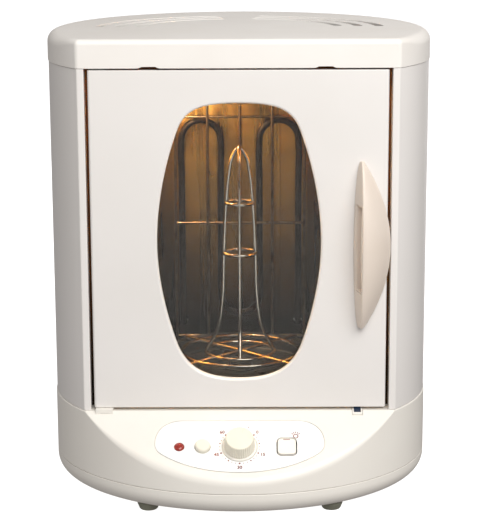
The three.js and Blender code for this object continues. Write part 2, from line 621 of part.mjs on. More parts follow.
function addControls() {
  const face = new THREE.Group();
  face.position.set(0, SLOPE_TOP.y, SLOPE_TOP.z);
  face.rotation.x = SLOPE;
  oven.add(face);
  add("control_plate", cut(slab(panelOutline(0), -1, 0.2, 6), ...controlHoles(16.8)), PANEL_PRINT, face);

  const ring = turned([[5, -1], [16.4, -1], [16.4, 0.2], [15.2, 0.9], [5, 0.9], [5, -1]], 32);
  add("timer_bezel", ring.translate(KNOB_X, CONTROL_Y, 0), WHITE_PLASTIC, face);
  const bore = bar(3.3, -5, 9, 12);
  const pointer = box([-0.6, 0.6], [6, 12], [13.6, 20]).rotateZ(-THREE.MathUtils.degToRad(20));
  const knob = cut(fluted(14.5, 13.2, 1.3, 14.2, 24), bore, pointer);
  add("timer_knob", knob.translate(KNOB_X, CONTROL_Y, 0), WHITE_PLASTIC, face);
  add("timer_shaft", bar(3, -5.7, 8.5, 12).translate(KNOB_X, CONTROL_Y, 0), STEEL, face);
  const timer = join(bar(20, -24, -6, 20), cut(box([-18, 18], [-18, 18], [-8, -3.4]), bar(9, -6, 0, 12)));
  add("timer_body", timer.translate(KNOB_X, CONTROL_Y, 0), STEEL, face);

  const cap = turned([[0, -4], [7.1, -4], [7.1, 2.6], [6.3, 4.2], [0, 4.4]], 20);
  add("motor_button", cap.translate(BUTTON_X, CONTROL_Y, 0), WHITE_PLASTIC, face);
  const barrel = cut(bar(9.5, -10, -3.4, 16), bar(7.6, -7.4, 0, 16));
  const motorSwitch = join(barrel, box([-6.5, 6.5], [-6.5, 6.5], [-22, -9]));
  add("motor_switch", motorSwitch.translate(BUTTON_X, CONTROL_Y, 0), DARK_PLASTIC, face);

  const rocker = slab(switchOutline(0.6), -6, 1, 4).translate(0, -CONTROL_Y, -ROCKER_PIVOT);
  rocker.rotateX(-ROCKER_TILT).translate(0, CONTROL_Y, ROCKER_PIVOT);
  add("lamp_button", rocker, WHITE_PLASTIC, face);
  const rockerBox = cut(slab(switchOutline(-2), -20, -3.4, 3), slab(switchOutline(-0.6), -8.4, 0, 3));
  add("lamp_switch", rockerBox, DARK_PLASTIC, face);
  const lens = turned([[0, -9], [3.4, -9], [3.4, -5], [4.6, -5], [4.6, 0.4], [3, 1.3], [0, 1.6]], 20);
  add("indicator_lens", lens.translate(LAMP_X, CONTROL_Y, 0), RED_LENS, face);
}

// ---- drive, drip pan and poultry rack, drawn about the turntable's own axis ----
// The rack's spokes lie on the pan's rim, and its pegs keep it in the middle.
const RACK = { ringRadius: 58, innerRadius: 34, spoke: 80, peg: 72, ringZ: 118.6, wire: 1.9, top: 322 };

// One bent wire: up one side of the rack, over the top and down the other.
function rackHoop(turn) {
  const side = [[34, 0], [29, 9], [22, 24], [17.5, 50], [15.5, 100], [13, 150], [10, 180]];
  const rising = side.map(([r, up]) => [r, up]);
  const over = [[6, 197], [0, RACK.top - RACK.ringZ], [-6, 197]];
  const falling = side.toReversed().map(([r, up]) => [-r, up]);
  const lift = turn ? RACK.wire * 1.1 : 0;
  const path = [...rising, ...over, ...falling];
  const points = path.map(([r, up]) => [r, 0, RACK.ringZ + up + (up > 190 ? lift : 0)]);
  return tube(points, RACK.wire, 26, 5).rotateZ(turn);
}

function poultryRack() {
  const { ringRadius, innerRadius, spoke, peg, ringZ, wire } = RACK;
  const ring = (radius, z, segments) =>
    new THREE.TorusGeometry(radius, wire, 5, segments).translate(0, 0, z);
  const spokes = [45, 135].map((angle) =>
    tube([[-spoke, 0, ringZ], [spoke, 0, ringZ]], wire, 1).rotateZ(THREE.MathUtils.degToRad(angle)));
  const pegs = [45, 135, 225, 315].map((angle) =>
    bar(wire, ringZ - 8, ringZ, 6).translate(peg, 0, 0).rotateZ(THREE.MathUtils.degToRad(angle)));
  return join(
    ring(ringRadius, ringZ, 28),
    ring(innerRadius, ringZ, 20),
    ...spokes,
    ...pegs,
    rackHoop(0),
    rackHoop(Math.PI / 2),
    ring(15.4, ringZ + 100, 14),
    ring(12.9, ringZ + 150, 14),
  );
}

function addDrive() {
  const drive = new THREE.Group();
  drive.position.set(0, TURN_Y, 0);
  oven.add(drive);
  const underDeck = BASE_TOP_Z - 3 - GAP;
  const flange = box([-34, 34], [-6, 6], [underDeck - 3, underDeck]);
  add("gear_motor", join(bar(24, 60, underDeck - 2, 20), flange, bar(8, 80, 88)), STEEL, drive);
  add("drive_shaft", bar(4, 88.3, 97, 12), STEEL, drive);
  const coupling = turned([
    [0, 106], [6, 106], [8, 104.5], [8, 99.4], [26, 99.4], [26, 96.2], [4.3, 96.2], [4.3, 97.3], [0, 97.3],
  ], 24);
  add("drive_coupling", coupling, STEEL, drive);
  const pan = turned([
    [12.3, 101], [72, 101], [77, 115.5], [82, 116.4],
    [82, 115.2], [77.9, 114.4], [72.9, 99.8], [12.3, 99.8], [12.3, 101],
  ], 40);
  add("drip_pan", pan, DARK_ENAMEL, drive);
  const boss = turned([
    [0, 110], [10, 110], [11.6, 108], [12, 102.3], [16, 102.3], [16, 101.3], [12, 101.3],
    [12, 99.8], [10.6, 99.8], [10.2, 107.6], [9, 108.6], [0, 108.6],
  ], 24);
  add("pan_boss", boss, DARK_ENAMEL, drive);
  add("poultry_rack", poultryRack(), CHROME, drive);
}

// ---- mains parts inside the base ----
function addMainsParts() {
  const gland = turned([[3.6, 0], [7.6, 0], [7.6, 9], [10, 9], [10, 12], [6, 16], [3.6, 16], [3.6, 0]], 20);
  add("cord_gland", onOval(gland.translate(0, 0, OVERHANG + GAP - 9), GLAND.x, GLAND.z), DARK_PLASTIC);
  add("terminal_block", box([60, 96], [84, 98], [11.3, 26]), CERAMIC);
}

addCasing();
addCavity();
addHeater();
addCookingLamp();
addDoor();
addHinges();
addControls();
addDrive();
addMainsParts();

export default oven;
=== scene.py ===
"""The looks of the upright rotisserie oven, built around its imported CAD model.

Shapes are drawn in millimetres in the row frame (+Z up, door facing -Y) and stored in metres.
"""
import json
from math import acos, asin, atan2, cos, degrees, pi, radians, sin, sqrt, tan

import bmesh
import bpy
from mathutils import Matrix, Vector


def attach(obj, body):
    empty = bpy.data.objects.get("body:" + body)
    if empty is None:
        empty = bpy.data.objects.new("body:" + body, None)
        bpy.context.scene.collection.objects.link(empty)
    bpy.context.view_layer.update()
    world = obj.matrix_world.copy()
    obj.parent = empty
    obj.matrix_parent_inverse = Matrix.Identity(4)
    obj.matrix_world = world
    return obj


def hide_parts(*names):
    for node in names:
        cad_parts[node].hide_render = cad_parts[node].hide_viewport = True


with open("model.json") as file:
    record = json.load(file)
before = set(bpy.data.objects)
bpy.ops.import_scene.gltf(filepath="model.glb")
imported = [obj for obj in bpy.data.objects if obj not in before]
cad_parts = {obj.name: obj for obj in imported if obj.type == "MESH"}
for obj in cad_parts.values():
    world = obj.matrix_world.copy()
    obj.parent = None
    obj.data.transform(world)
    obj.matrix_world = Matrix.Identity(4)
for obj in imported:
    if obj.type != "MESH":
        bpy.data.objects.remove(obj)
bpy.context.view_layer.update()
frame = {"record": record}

MM = 0.001
TO_METRES = Matrix.Scale(MM, 4)
STAY = Matrix.Identity(4)
WELD = 1e-4  # millimetres
SHARP_FROM = radians(40)
RECORD = frame["record"]
BODY_OF = {node: body for body, nodes in RECORD["behaviour"]["bodies"].items() for node in nodes}

# ---- sizes of the real thing, in millimetres ----
HALF_WIDTH, HALF_DEPTH = 180.9, 157.4
OVERHANG = 0.7  # of the lid and the base past the wrap
REACH = HALF_WIDTH + OVERHANG
SQUASH = HALF_DEPTH / HALF_WIDTH
FRONT_Y, FRAME_Y = -92.0, -75.0
DECK_Z, SEAM_Z = 89.0, 28.2
WALL_LOW = 89.3  # foot of the wrap, the liner and the front frame
COVER_Z, COVER_RIM_Z, COVER_RISE, COVER_CROWN = 412.5, 440.2, 0.015, 1.0
SLOPE, SLOPE_Z = radians(36.5), 90.0
CONTROL_Y = -43.3
KNOB_X, BUTTON_X, LAMP_X, SWITCH_X = 0.0, -34.4, -56.3, 43.8
KNOB_HOLE, BEZEL_HOLE, BUTTON_HOLE, LAMP_HOLE = 5, 16.8, 7.5, 4.9
TURN_Y = 12.0
WINDOW_Z = 250.0
HINGE_X, HINGE_Y = -129.5, -85.0
PIN, PIN_HOLE = 2.5, 2.55
CATCH_X = 111


# ---- places ----
def moved(x=0.0, y=0.0, z=0.0):
    return Matrix.Translation((x, y, z))


def spun(angle, axis="Z"):
    return Matrix.Rotation(radians(angle), 4, axis)


ON_SLOPE = moved(0, FRONT_Y, SLOPE_Z) @ Matrix.Rotation(SLOPE, 4, "X")
UPRIGHT = spun(90, "X")  # what was drawn in X and Y now stands in X and Z
ON_AXIS = moved(y=TURN_Y)
AT_HINGE = moved(HINGE_X, HINGE_Y)


# ---- outlines: lists of (x, y) ----
def arc(centre_x, centre_y, radius, start, end, steps):
    """Points along a round, from one angle to another in degrees."""
    angles = [radians(start + (end - start) * i / steps) for i in range(steps + 1)]
    return [(centre_x + radius * cos(a), centre_y + radius * sin(a)) for a in angles]


def rounded_rectangle(x0, x1, y0, y1, radius, steps=8):
    return (
        arc(x1 - radius, y0 + radius, radius, -90, 0, steps)
        + arc(x1 - radius, y1 - radius, radius, 0, 90, steps)
        + arc(x0 + radius, y1 - radius, radius, 90, 180, steps)
        + arc(x0 + radius, y0 + radius, radius, 180, 270, steps)
    )


def bezier(start, handle_a, handle_b, end, steps=16):
    """Points along one cubic curve, leaving out its end."""
    a, b, c, d = map(Vector, (start, handle_a, handle_b, end))
    shares = [(i / steps, 1 - i / steps) for i in range(steps)]
    return [tuple(u**3 * a + 3 * u * u * t * b + 3 * u * t * t * c + t**3 * d) for t, u in shares]


def mirrored(half):
    """Closes an outline whose first and last points lie on x = 0 with its own mirror image."""
    return half + [(-x, y) for x, y in reversed(half) if x > WELD]


def window_outline(grow=0.0):
    """The barrel-shaped window: bowed sides, a flat top and a rounder bottom."""
    w, h = 76 + grow, 130.4 + grow
    knots = [
        (0, -1), (0.42, -1), (0.63, -0.93), (0.755, -0.76), (0.88, -0.56), (1, -0.28), (1, 0),
        (1, 0.3), (0.87, 0.62), (0.725, 0.83), (0.62, 0.965), (0.42, 1), (0, 1),
    ]
    p = [(w * x, WINDOW_Z + h * y) for x, y in knots]
    half = [q for i in range(0, 12, 3) for q in bezier(*p[i : i + 4])] + [p[-1]]
    return mirrored(half)


def panel_outline(inset=0.0):
    """The control plate, in slope coordinates: a flat top, round ends and a bowed bottom."""
    side, top, low, corner = 78.6 - inset, -14 - inset, -54.5, 25 - inset
    foot = (side - 11, low + inset)
    middle = (0, -71.5 + inset)
    half = (
        bezier(middle, (side / 3, middle[1]), (side * 2 / 3 - 3.7, -65.8 + inset), foot)
        + bezier(foot, (side - 3, low + 5), (side, top - corner - 8), (side, top - corner))
        + bezier((side, top - corner), (side, top - 12), (side - 8, top), (side - corner, top))
        + [(side - corner, top), (0, top)]
    )
    return mirrored(half)


def switch_outline(inset=0.0):
    x, y, r = 9.6 - inset, 10.4 - inset, 5 - inset
    return rounded_rectangle(SWITCH_X - x, SWITCH_X + x, CONTROL_Y - y, CONTROL_Y + y, r)


def circle(x, y, radius, steps=48):
    return arc(x, y, radius, 0, 360 - 360 / steps, steps - 1)


# ---- meshes ----
def loft(rings, closed=True, caps=(True, True)):
    """Skins one ring of points to the next."""
    bm = bmesh.new()
    rows = [[bm.verts.new(p) for p in ring] for ring in rings]
    count = len(rows[0])
    for low, high in zip(rows, rows[1:]):
        for i in range(count if closed else count - 1):
            j = (i + 1) % count
            bm.faces.new((low[i], low[j], high[j], high[i]))
    if caps[0]:
        bm.faces.new(rows[0][::-1])
    if caps[1]:
        bm.faces.new(rows[-1])
    return bm


def linked(name, data):
    """A new object in the scene."""
    obj = bpy.data.objects.new(name, data)
    bpy.context.scene.collection.objects.link(obj)
    return obj


def placed(bm):
    """An object from a mesh that is already in metres."""
    mesh = bpy.data.meshes.new("piece")
    bm.to_mesh(mesh)
    bm.free()
    return linked("piece", mesh)


def made(bm, matrix=STAY):
    """An object from a mesh drawn in millimetres."""
    bmesh.ops.remove_doubles(bm, verts=bm.verts, dist=WELD)
    bmesh.ops.recalc_face_normals(bm, faces=bm.faces)
    bm.transform(TO_METRES @ matrix)
    return placed(bm)


def bake(obj):
    """Turns an object's modifiers, or a curve, into plain mesh."""
    graph = bpy.context.evaluated_depsgraph_get()
    mesh = bpy.data.meshes.new_from_object(obj.evaluated_get(graph))
    if obj.type == "MESH":
        obj.modifiers.clear()
        obj.data = mesh
        return obj
    bpy.data.objects.remove(obj)
    return linked("piece", mesh)


def turned(profile, matrix=STAY, closed=False, sides=96, squash=1.0):
    """Turns a profile of (radius, z) about Z. A closed one joins its end to its start."""
    angles = [2 * pi * i / sides for i in range(sides)]
    rings = [[(r * cos(a), squash * r * sin(a), z) for a in angles] for r, z in profile]
    if closed:
        rings.append(rings[0])
    return made(loft(rings, caps=(False, False)), matrix)


def plate(outlines, low, high, rim=0.3, steps=2, matrix=STAY):
    """A flat sheet from z = low to high with rounded rims; the outlines after the first are holes."""
    curve = bpy.data.curves.new("piece", "CURVE")
    curve.dimensions, curve.fill_mode = "2D", "BOTH"
    curve.extrude = (high - low) / 2 - rim
    curve.bevel_depth, curve.bevel_resolution = rim, steps
    curve.offset = -rim
    for outline in outlines:
        spline = curve.splines.new("POLY")
        spline.points.add(len(outline) - 1)
        for point, (x, y) in zip(spline.points, outline):
            point.co = (x, y, 0, 1)
        spline.use_cyclic_u = True
    obj = bake(linked("piece", curve))
    bm = bmesh.new()
    bm.from_mesh(obj.data)
    bpy.data.objects.remove(obj)
    return made(bm, matrix @ moved(z=(low + high) / 2))


def upright_plate(outlines, front, back, rim=0.3):
    """The same, drawn in X and Z and thick along Y."""
    return plate(outlines, -back, -front, rim, matrix=UPRIGHT)


def block(x, y, z, rim=0.0, matrix=STAY):
    """A box, with rounded edges if it has a rim."""
    bm = bmesh.new()
    bmesh.ops.create_cube(bm, size=1)
    size = [high - low for low, high in (x, y, z)]
    middle = [(high + low) / 2 for low, high in (x, y, z)]
    bm.transform(Matrix.Translation(middle) @ Matrix.Diagonal((*size, 1)))
    if rim:
        bmesh.ops.bevel(bm, geom=bm.edges, offset=rim, segments=2, profile=0.5, affect="EDGES")
    return made(bm, matrix)


def rod(radius, low, high, matrix=STAY, rim=0.3):
    """A round bar along Z with eased ends."""
    ends = arc(radius - rim, high - rim, rim, 0, 90, 3)
    profile = [(0, low), (radius - rim, low), (radius, low + rim), *ends, (0, high)]
    return turned(profile, matrix, sides=48)


def wires(paths, radius, loops=(), matrix=STAY, smooth=True):
    """Round wire along each path of points; the paths in loops are closed."""
    curve = bpy.data.curves.new("piece", "CURVE")
    curve.dimensions = "3D"
    curve.bevel_depth, curve.bevel_resolution = radius, 5
    curve.resolution_u = 8
    curve.use_fill_caps = True
    for points, cyclic in [(p, False) for p in paths] + [(p, True) for p in loops]:
        spline = curve.splines.new("BEZIER")
        spline.bezier_points.add(len(points) - 1)
        for knot, point in zip(spline.bezier_points, points):
            knot.co = point
            knot.handle_left_type = knot.handle_right_type = "AUTO" if smooth else "VECTOR"
        spline.use_cyclic_u = cyclic
    obj = bake(linked("piece", curve))
    obj.data.transform(TO_METRES @ matrix)
    return obj


def joined(*objects):
    """Makes one object of several."""
    bm = bmesh.new()
    for obj in objects:
        bm.from_mesh(obj.data)
        bpy.data.objects.remove(obj)
    return placed(bm)


def carve(obj, *cutters, operation="DIFFERENCE"):
    """Cuts closed shapes out of an object, and uses them up."""
    for cutter in cutters:
        modifier = obj.modifiers.new("carve", "BOOLEAN")
        modifier.operation, modifier.solver, modifier.object = operation, "EXACT", cutter
    bake(obj)
    for cutter in cutters:
        bpy.data.objects.remove(cutter)
    return obj


def fused(obj, *others):
    """Makes one solid of several."""
    return carve(obj, *others, operation="UNION")


def thickened(obj, thickness):
    """Gives an open surface a thickness, inwards."""
    modifier = obj.modifiers.new("thickness", "SOLIDIFY")
    modifier.thickness, modifier.offset = thickness * MM, -1
    return bake(obj)


def eased(obj, width, segments=2, angle=50):
    """Rounds edges sharper than an angle."""
    bm = bmesh.new()
    bm.from_mesh(obj.data)
    sliver, nearly_flat = 0.01 * MM, radians(0.3)
    bmesh.ops.remove_doubles(bm, verts=bm.verts, dist=sliver)
    bmesh.ops.dissolve_limit(bm, verts=bm.verts, edges=bm.edges, angle_limit=nearly_flat)
    bm.to_mesh(obj.data)
    bm.free()
    modifier = obj.modifiers.new("ease", "BEVEL")
    modifier.width, modifier.segments = width * MM, segments
    modifier.limit_method, modifier.angle_limit = "ANGLE", radians(angle)
    modifier.use_clamp_overlap = False
    return bake(obj)


def dressed(obj, name, material, body):
    """Gives a piece its name, material and body, and smooth shading that keeps flat faces flat."""
    obj.name = name
    obj.data.materials.clear()
    obj.data.materials.append(material)
    obj.data.shade_smooth()
    obj.data.set_sharp_from_angle(angle=SHARP_FROM)
    obj.modifiers.new("normals", "WEIGHTED_NORMAL").keep_sharp = True
    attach(obj, body)


def piece(obj, material, node):
    """Makes an object the piece in place of a CAD node, on its body, and hides the node."""
    dressed(obj, f"{node}_fine", material, BODY_OF[node])
    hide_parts(node)


def level(outline, z):
    return [(x, y, z) for x, y in outline]


def prism(outline, low, high, matrix=STAY):
    """An outline made solid from z = low to high, with sharp edges."""
    return made(loft([level(outline, low), level(outline, high)]), matrix)


def filleted(corners, radii, steps=4):
    """A path through corners, each rounded with its own radius."""
    path = [corners[0]]
    for before, corner, after, radius in zip(corners, corners[1:], corners[2:], radii):
        p = Vector(corner)
        a, b = (Vector(before) - p).normalized(), (Vector(after) - p).normalized()
        half = a.angle(b) / 2
        reach = radius / tan(half)
        middle = p + (a + b).normalized() * radius / sin(half)
        start, end = p + a * reach - middle, p + b * reach - middle
        turn = start.angle_signed(end)
        for i in range(steps + 1):
            path.append(tuple(middle + Matrix.Rotation(-turn * i / steps, 2) @ start))
    path.append(corners[-1])
    return path


def sheet(path, heights, thickness, is_hole=lambda x, y, z: False):
    """Bent sheet metal: a plan path, taken anticlockwise, raised through the heights, with openings."""
    bm = loft([level(path, z) for z in heights], closed=False, caps=(False, False))
    holes = [f for f in bm.faces if is_hole(*f.calc_center_median())]
    bmesh.ops.delete(bm, geom=holes, context="FACES")
    bm.transform(TO_METRES)
    return thickened(placed(bm), thickness)


def oval_path(half_width, half_depth, front_y, extra_x=(), steps=150):
    """The open oval from its right front end round the back to its left front end."""
    start = asin(front_y / half_depth)
    angles = [start + (pi - 2 * start) * i / steps for i in range(steps + 1)]
    angles += [acos(x / half_width) for x in extra_x]
    return [(half_width * cos(a), half_depth * sin(a)) for a in sorted(angles)]


# ---- materials ----
def linear(web_colour):
    """A shader's colour from a web colour."""
    parts = [int(web_colour[i : i + 2], 16) / 255 for i in (0, 2, 4)]
    return (*[c / 12.92 if c <= 0.04045 else ((c + 0.055) / 1.055) ** 2.4 for c in parts], 1)


class Surface:
    """A material whose look is built up from noise in the row frame."""

    def __init__(self, name, **values):
        self.material = bpy.data.materials.new(name)
        self.material.use_nodes = True
        self.tree = self.material.node_tree
        self.shader = self.tree.nodes["Principled BSDF"]
        for socket, value in values.items():
            self.shader.inputs[socket.replace("_", " ")].default_value = value
        self.where = self.node("TexCoord").outputs["Object"]
        self.normal = None

    def node(self, kind, **settings):
        node = self.tree.nodes.new("ShaderNode" + kind)
        for name, value in settings.items():
            setattr(node, name, value)
        return node

    def link(self, output, target):
        self.tree.links.new(output, target)

    def noise(self, scale, detail=3.0, stretch=(1, 1, 1)):
        """Noise with so many cells to the metre, stretched along the axes."""
        mapping = self.node("Mapping")
        mapping.inputs["Scale"].default_value = stretch
        self.link(self.where, mapping.inputs["Vector"])
        noise = self.node("TexNoise")
        noise.inputs["Scale"].default_value = scale
        noise.inputs["Detail"].default_value = detail
        self.link(mapping.outputs[0], noise.inputs["Vector"])
        return noise.outputs["Fac"]

    def spread(self, value, low, high, start=0.3, end=0.7):
        """Stretches a value's usual range to another."""
        node = self.node("MapRange")
        for socket, number in (("From Min", start), ("From Max", end), ("To Min", low), ("To Max", high)):
            node.inputs[socket].default_value = number
        self.link(value, node.inputs["Value"])
        return node.outputs["Result"]

    def height(self):
        """Height above the floor, in metres."""
        node = self.node("SeparateXYZ")
        self.link(self.where, node.inputs[0])
        return node.outputs["Z"]

    def colours(self, factor, first, second):
        """Goes from one colour to another; the first may be the socket of a colour."""
        node = self.node("Mix", data_type="RGBA")
        start, end, mixed = node.inputs[6], node.inputs[7], node.outputs[2]
        self.link(factor, node.inputs["Factor"])
        if isinstance(first, str):
            start.default_value = linear(first)
        else:
            self.link(first, start)
        end.default_value = linear(second)
        self.link(mixed, self.shader.inputs["Base Color"])
        return mixed

    def roughness(self, value, low, high):
        self.link(self.spread(value, low, high), self.shader.inputs["Roughness"])

    def bump(self, value, depth_mm, strength=1.0):
        """Adds relief of a depth to what is there already."""
        node = self.node("Bump")
        node.inputs["Strength"].default_value = strength
        node.inputs["Distance"].default_value = depth_mm * MM
        self.link(value, node.inputs["Height"])
        if self.normal:
            self.link(self.normal, node.inputs["Normal"])
        self.normal = node.outputs["Normal"]
        self.link(self.normal, self.shader.inputs["Normal"])


def grained(name, clouds, rough, grain, **values):
    """A plain surface; clouds and rough are (scale, detail, from, to), grain is (scale, detail, depth)."""
    s = Surface(name, **values)
    s.colours(s.spread(s.noise(*clouds[:2]), 0, 1), *clouds[2:])
    s.roughness(s.noise(*rough[:2]), *rough[2:])
    s.bump(s.noise(*grain[:2]), grain[2])
    return s.material


def plastic(name, colour, shade, rough, depth_mm=0.012):
    """Moulded plastic: faint flow clouds and a spark-eroded grain."""
    clouds, rough = (14, 4, colour, shade), (30, 3, rough - 0.02, rough + 0.03)
    return grained(name, clouds, rough, (1900, 2, depth_mm), IOR=1.5)


def enamel(name, colour, shade, rough):
    """Baked paint on sheet metal: orange peel, slight clouding, and a clear top coat."""
    clouds, rough = (9, 3, colour, shade), (12, 3, rough - 0.02, rough + 0.03)
    return grained(name, clouds, rough, (420, 1.5, 0.012), Coat_Weight=0.25, Coat_Roughness=0.12)


def metal(name, colour, shade, rough, stretch, scale=60, relief=0.008):
    """Rolled or drawn metal with streaks along the direction that isn't stretched."""
    s = Surface(name, Metallic=1.0)
    streaks = s.noise(scale, 6, stretch)
    s.colours(s.spread(streaks, 0, 1), colour, shade)
    s.roughness(streaks, rough * 0.7, rough * 1.35)
    s.bump(streaks, relief)
    return s.material


def heat_tinted(name, top_colour, painted_shade_colour, splash):
    """Bright sheet inside the cavity, with painted shade that darkens it towards the bottom, and old
    splashes.
    """
    s = Surface(name, Metallic=1.0)
    # painted shade: the colour runs from the top colour to near black lower down in the cavity
    up = s.spread(s.height(), 1, 0, 0.12, 0.38)
    gold_with_painted_shade = s.colours(up, top_colour, painted_shade_colour)
    s.colours(s.spread(s.noise(26, 6), 0, 0.55, 0.45, 0.75), gold_with_painted_shade, splash)
    streaks = s.noise(9, 2, (12, 12, 0.6))
    s.roughness(streaks, 0.24, 0.42)
    s.bump(streaks, 0.15, 0.4)
    return s.material


def clear_glass(name, colour, rough):
    """Glass that lets lamps through, with weak reflections and the faintest haze of grease."""
    s = Surface(name, IOR=1.45, Transmission_Weight=1.0, Specular_IOR_Level=0.2)
    s.shader.inputs["Base Color"].default_value = linear(colour)
    s.roughness(s.noise(18, 5), 0.0, rough)
    through = s.node("BsdfTransparent")
    through.inputs["Color"].default_value = linear(colour)
    ray = s.node("LightPath")
    mix = s.node("MixShader")
    s.link(ray.outputs["Is Shadow Ray"], mix.inputs["Fac"])
    s.link(s.shader.outputs[0], mix.inputs[1])
    s.link(through.outputs[0], mix.inputs[2])
    s.link(mix.outputs[0], s.tree.nodes["Material Output"].inputs["Surface"])
    return s.material


def lit_bulb():
    s = Surface("lit_bulb", Roughness=0.3, Emission_Strength=9.0)
    s.shader.inputs["Emission Color"].default_value = linear("FFC26E")
    s.colours(s.spread(s.noise(200, 2), 0, 1), "FFE9C4", "FFDDA8")
    return s.material


def rubber():
    clouds, rough = (60, 5, "8E8E7E", "747467"), (300, 4, 0.62, 0.86)
    return grained("grey_rubber", clouds, rough, (1500, 4, 0.04), IOR=1.5)


def red_lens():
    clouds, rough = (400, 2, "A8382C", "8E2A22"), (90, 3, 0.12, 0.24)
    return grained("red_lens", clouds, rough, (900, 1, 0.02), IOR=1.49, Coat_Weight=0.6, Coat_Roughness=0.05)


def non_stick():
    s = Surface("dark_non_stick", IOR=1.45)
    specks = s.spread(s.noise(1400, 1), 0, 1, 0.62, 0.68)
    s.colours(specks, "1F2327", "5A5F63")
    s.roughness(s.noise(40, 4), 0.24, 0.42)
    s.bump(s.noise(900, 3), 0.015)
    return s.material


def ceramic():
    clouds, rough = (90, 5, "E9E4D9", "D9D1C1"), (500, 4, 0.5, 0.75)
    return grained("ceramic", clouds, rough, (1300, 4, 0.03), IOR=1.5)


WHITE = plastic("white_plastic", "F7F3EB", "F4EFE7", 0.34)
LID_WHITE = plastic("lid_plastic", "F5F1EC", "F1ECE6", 0.42, 0.02)
KNOB_IVORY = plastic("knob_plastic", "F3EEDF", "EFE8D6", 0.36)
CREAM = plastic("cream_plastic", "E9DCD0", "E3D5C7", 0.4)
PRINT_FILM = plastic("print_film", "FCFCFB", "F9F9F8", 0.3, 0.004)
DARK = plastic("dark_plastic", "22344E", "1A2A40", 0.4)
INK = plastic("dark_red_ink", "7E2420", "6C1D1A", 0.5)
ENAMEL = enamel("white_enamel", "F0ECE9", "ECE8E4", 0.3)
# the cavity's gold sheet, with painted shade darkening its lower part
GOLD = heat_tinted("gold_sheet_painted_shade", "D6A456", "1E1712", "3A2B1E")
# the front frame: a darker brown copy of the gold sheet, painted shade for the gaps round the door
FRONT_SHEET_PAINTED_SHADE = heat_tinted("front_sheet_painted_shade", "9A6440", "2A201A", "5A3E2A")
STEEL = metal("plain_steel", "A9A9A5", "8F8F8B", 0.34, (1, 1, 6))
CHROME = metal("chrome_wire", "E2E2DF", "C9C9C5", 0.1, (1, 1, 1), 90, 0.003)
SHEATH = metal("oxidised_sheath", "3A312B", "211D1A", 0.5, (1, 1, 0.3), 160, 0.02)
DULL_WIRE = metal("browned_wire", "8C7A62", "5A4A3A", 0.35, (1, 1, 1), 90, 0.004)
RUBBER, RED, NON_STICK, CERAMIC = rubber(), red_lens(), non_stick(), ceramic()
GLASS = clear_glass("door_glass", "C9C6C0", 0.02)
LAMP_GLASS = clear_glass("lamp_glass", "FFF3DC", 0.12)
BULB = lit_bulb()


# ---- outer casing ----
COVER_EDGE, COVER_CORNER, COVER_ROUND = 5.0, 5.2, 10.0  # radii: front edge, front corners, sides and back
COVER_FRONT_Y = FRONT_Y - OVERHANG
VENT_SHARES = (0.53, 0.64, 0.75)  # of the lid's half width
VENT_DEPTH, VENT_FRONT_Y, VENT_HALF = 134, 12.5, 4.3
NOTCHES = (-81.5, 79.5)
LOUVRES, LOUVRE_HALF, LOUVRE_GAP = (-62, 0, 62), 22, 4
LIP_X = 140.5
GLAND_X, GLAND_Z = 100, 58
WRAP_SCREW_X, WRAP_SCREW_Z = 110, 101
PAN_SCREW_X, PAN_SCREW_Y = 120, 72
FOOT_X, FOOT_Y = 86, 115
PAN_SCREWS = [moved(sx * PAN_SCREW_X, sy * PAN_SCREW_Y) for sx in (-1, 1) for sy in (-1, 1)]
SIDES = {"left": -1, "right": 1}
CORNERS = {"front_left": (-1, -1), "front_right": (1, -1), "rear_left": (-1, 1), "rear_right": (1, 1)}


def on_oval(x, z):
    """Stands what was drawn pointing up on the back of the wrap, pointing straight out of it."""
    y = HALF_DEPTH * sqrt(1 - (x / HALF_WIDTH) ** 2)
    outward = atan2(y / HALF_DEPTH**2, x / HALF_WIDTH**2)
    return moved(x, y, z) @ Matrix.Rotation(outward, 4, "Z") @ spun(90, "Y")


def add_screw(node, matrix, shank=1.7, length=8):
    """A steel pan-head screw, drawn head up, with a cross recess."""
    r, h = 3.6, 2.0
    profile = [(0, -length), (shank * 0.4, -length), (shank, 1.5 - length), (shank, 0)]
    profile += [(r - 0.1, 0), (r, 0.15), (r, h * 0.4), (r * 0.86, h * 0.8), (r * 0.5, h * 0.98), (0, h)]
    body = turned(profile, sides=48)
    across, along, depth = (-0.45, 0.45), (-r * 0.6, r * 0.6), (h * 0.4, h * 1.5)
    carve(body, block(across, along, depth), block(along, across, depth))
    body.data.transform(TO_METRES @ matrix @ Matrix.Scale(1 / MM, 4))
    piece(body, STEEL, node)


def cover_contour():
    """Round the lid, anticlockwise from the middle of the front: (point, outward normal, edge radius)."""
    a, b = REACH, REACH * SQUASH

    def on_rim(t):
        x, y = cos(t), sin(t)
        return Vector((a * x, b * y)), Vector((b * x, a * y)).normalized()

    low, high = radians(-60), 0.0
    for _ in range(40):
        t = (low + high) / 2
        point, normal = on_rim(t)
        if (point - normal * COVER_CORNER).y < COVER_FRONT_Y + COVER_CORNER:
            low = t
        else:
            high = t
    centre = point - normal * COVER_CORNER
    forward = Vector((0, -1))
    half = [(Vector((centre.x * i / 24, COVER_FRONT_Y)), forward, COVER_EDGE) for i in range(24)]
    for x, y in arc(0, 0, 1, -90, degrees(atan2(normal.y, normal.x)), 10):
        half.append((centre + Vector((x, y)) * COVER_CORNER, Vector((x, y)), COVER_EDGE))
    for i in range(1, 91):
        angle = t + (pi / 2 - t) * i / 90
        blend = min(1.0, (angle - t) / radians(14))
        ease = blend * blend * (3 - 2 * blend)
        half.append((*on_rim(angle), COVER_EDGE + (COVER_ROUND - COVER_EDGE) * ease))
    return half + [(Vector((-p.x, p.y)), Vector((-n.x, n.y)), r) for p, n, r in half[-2:0:-1]]


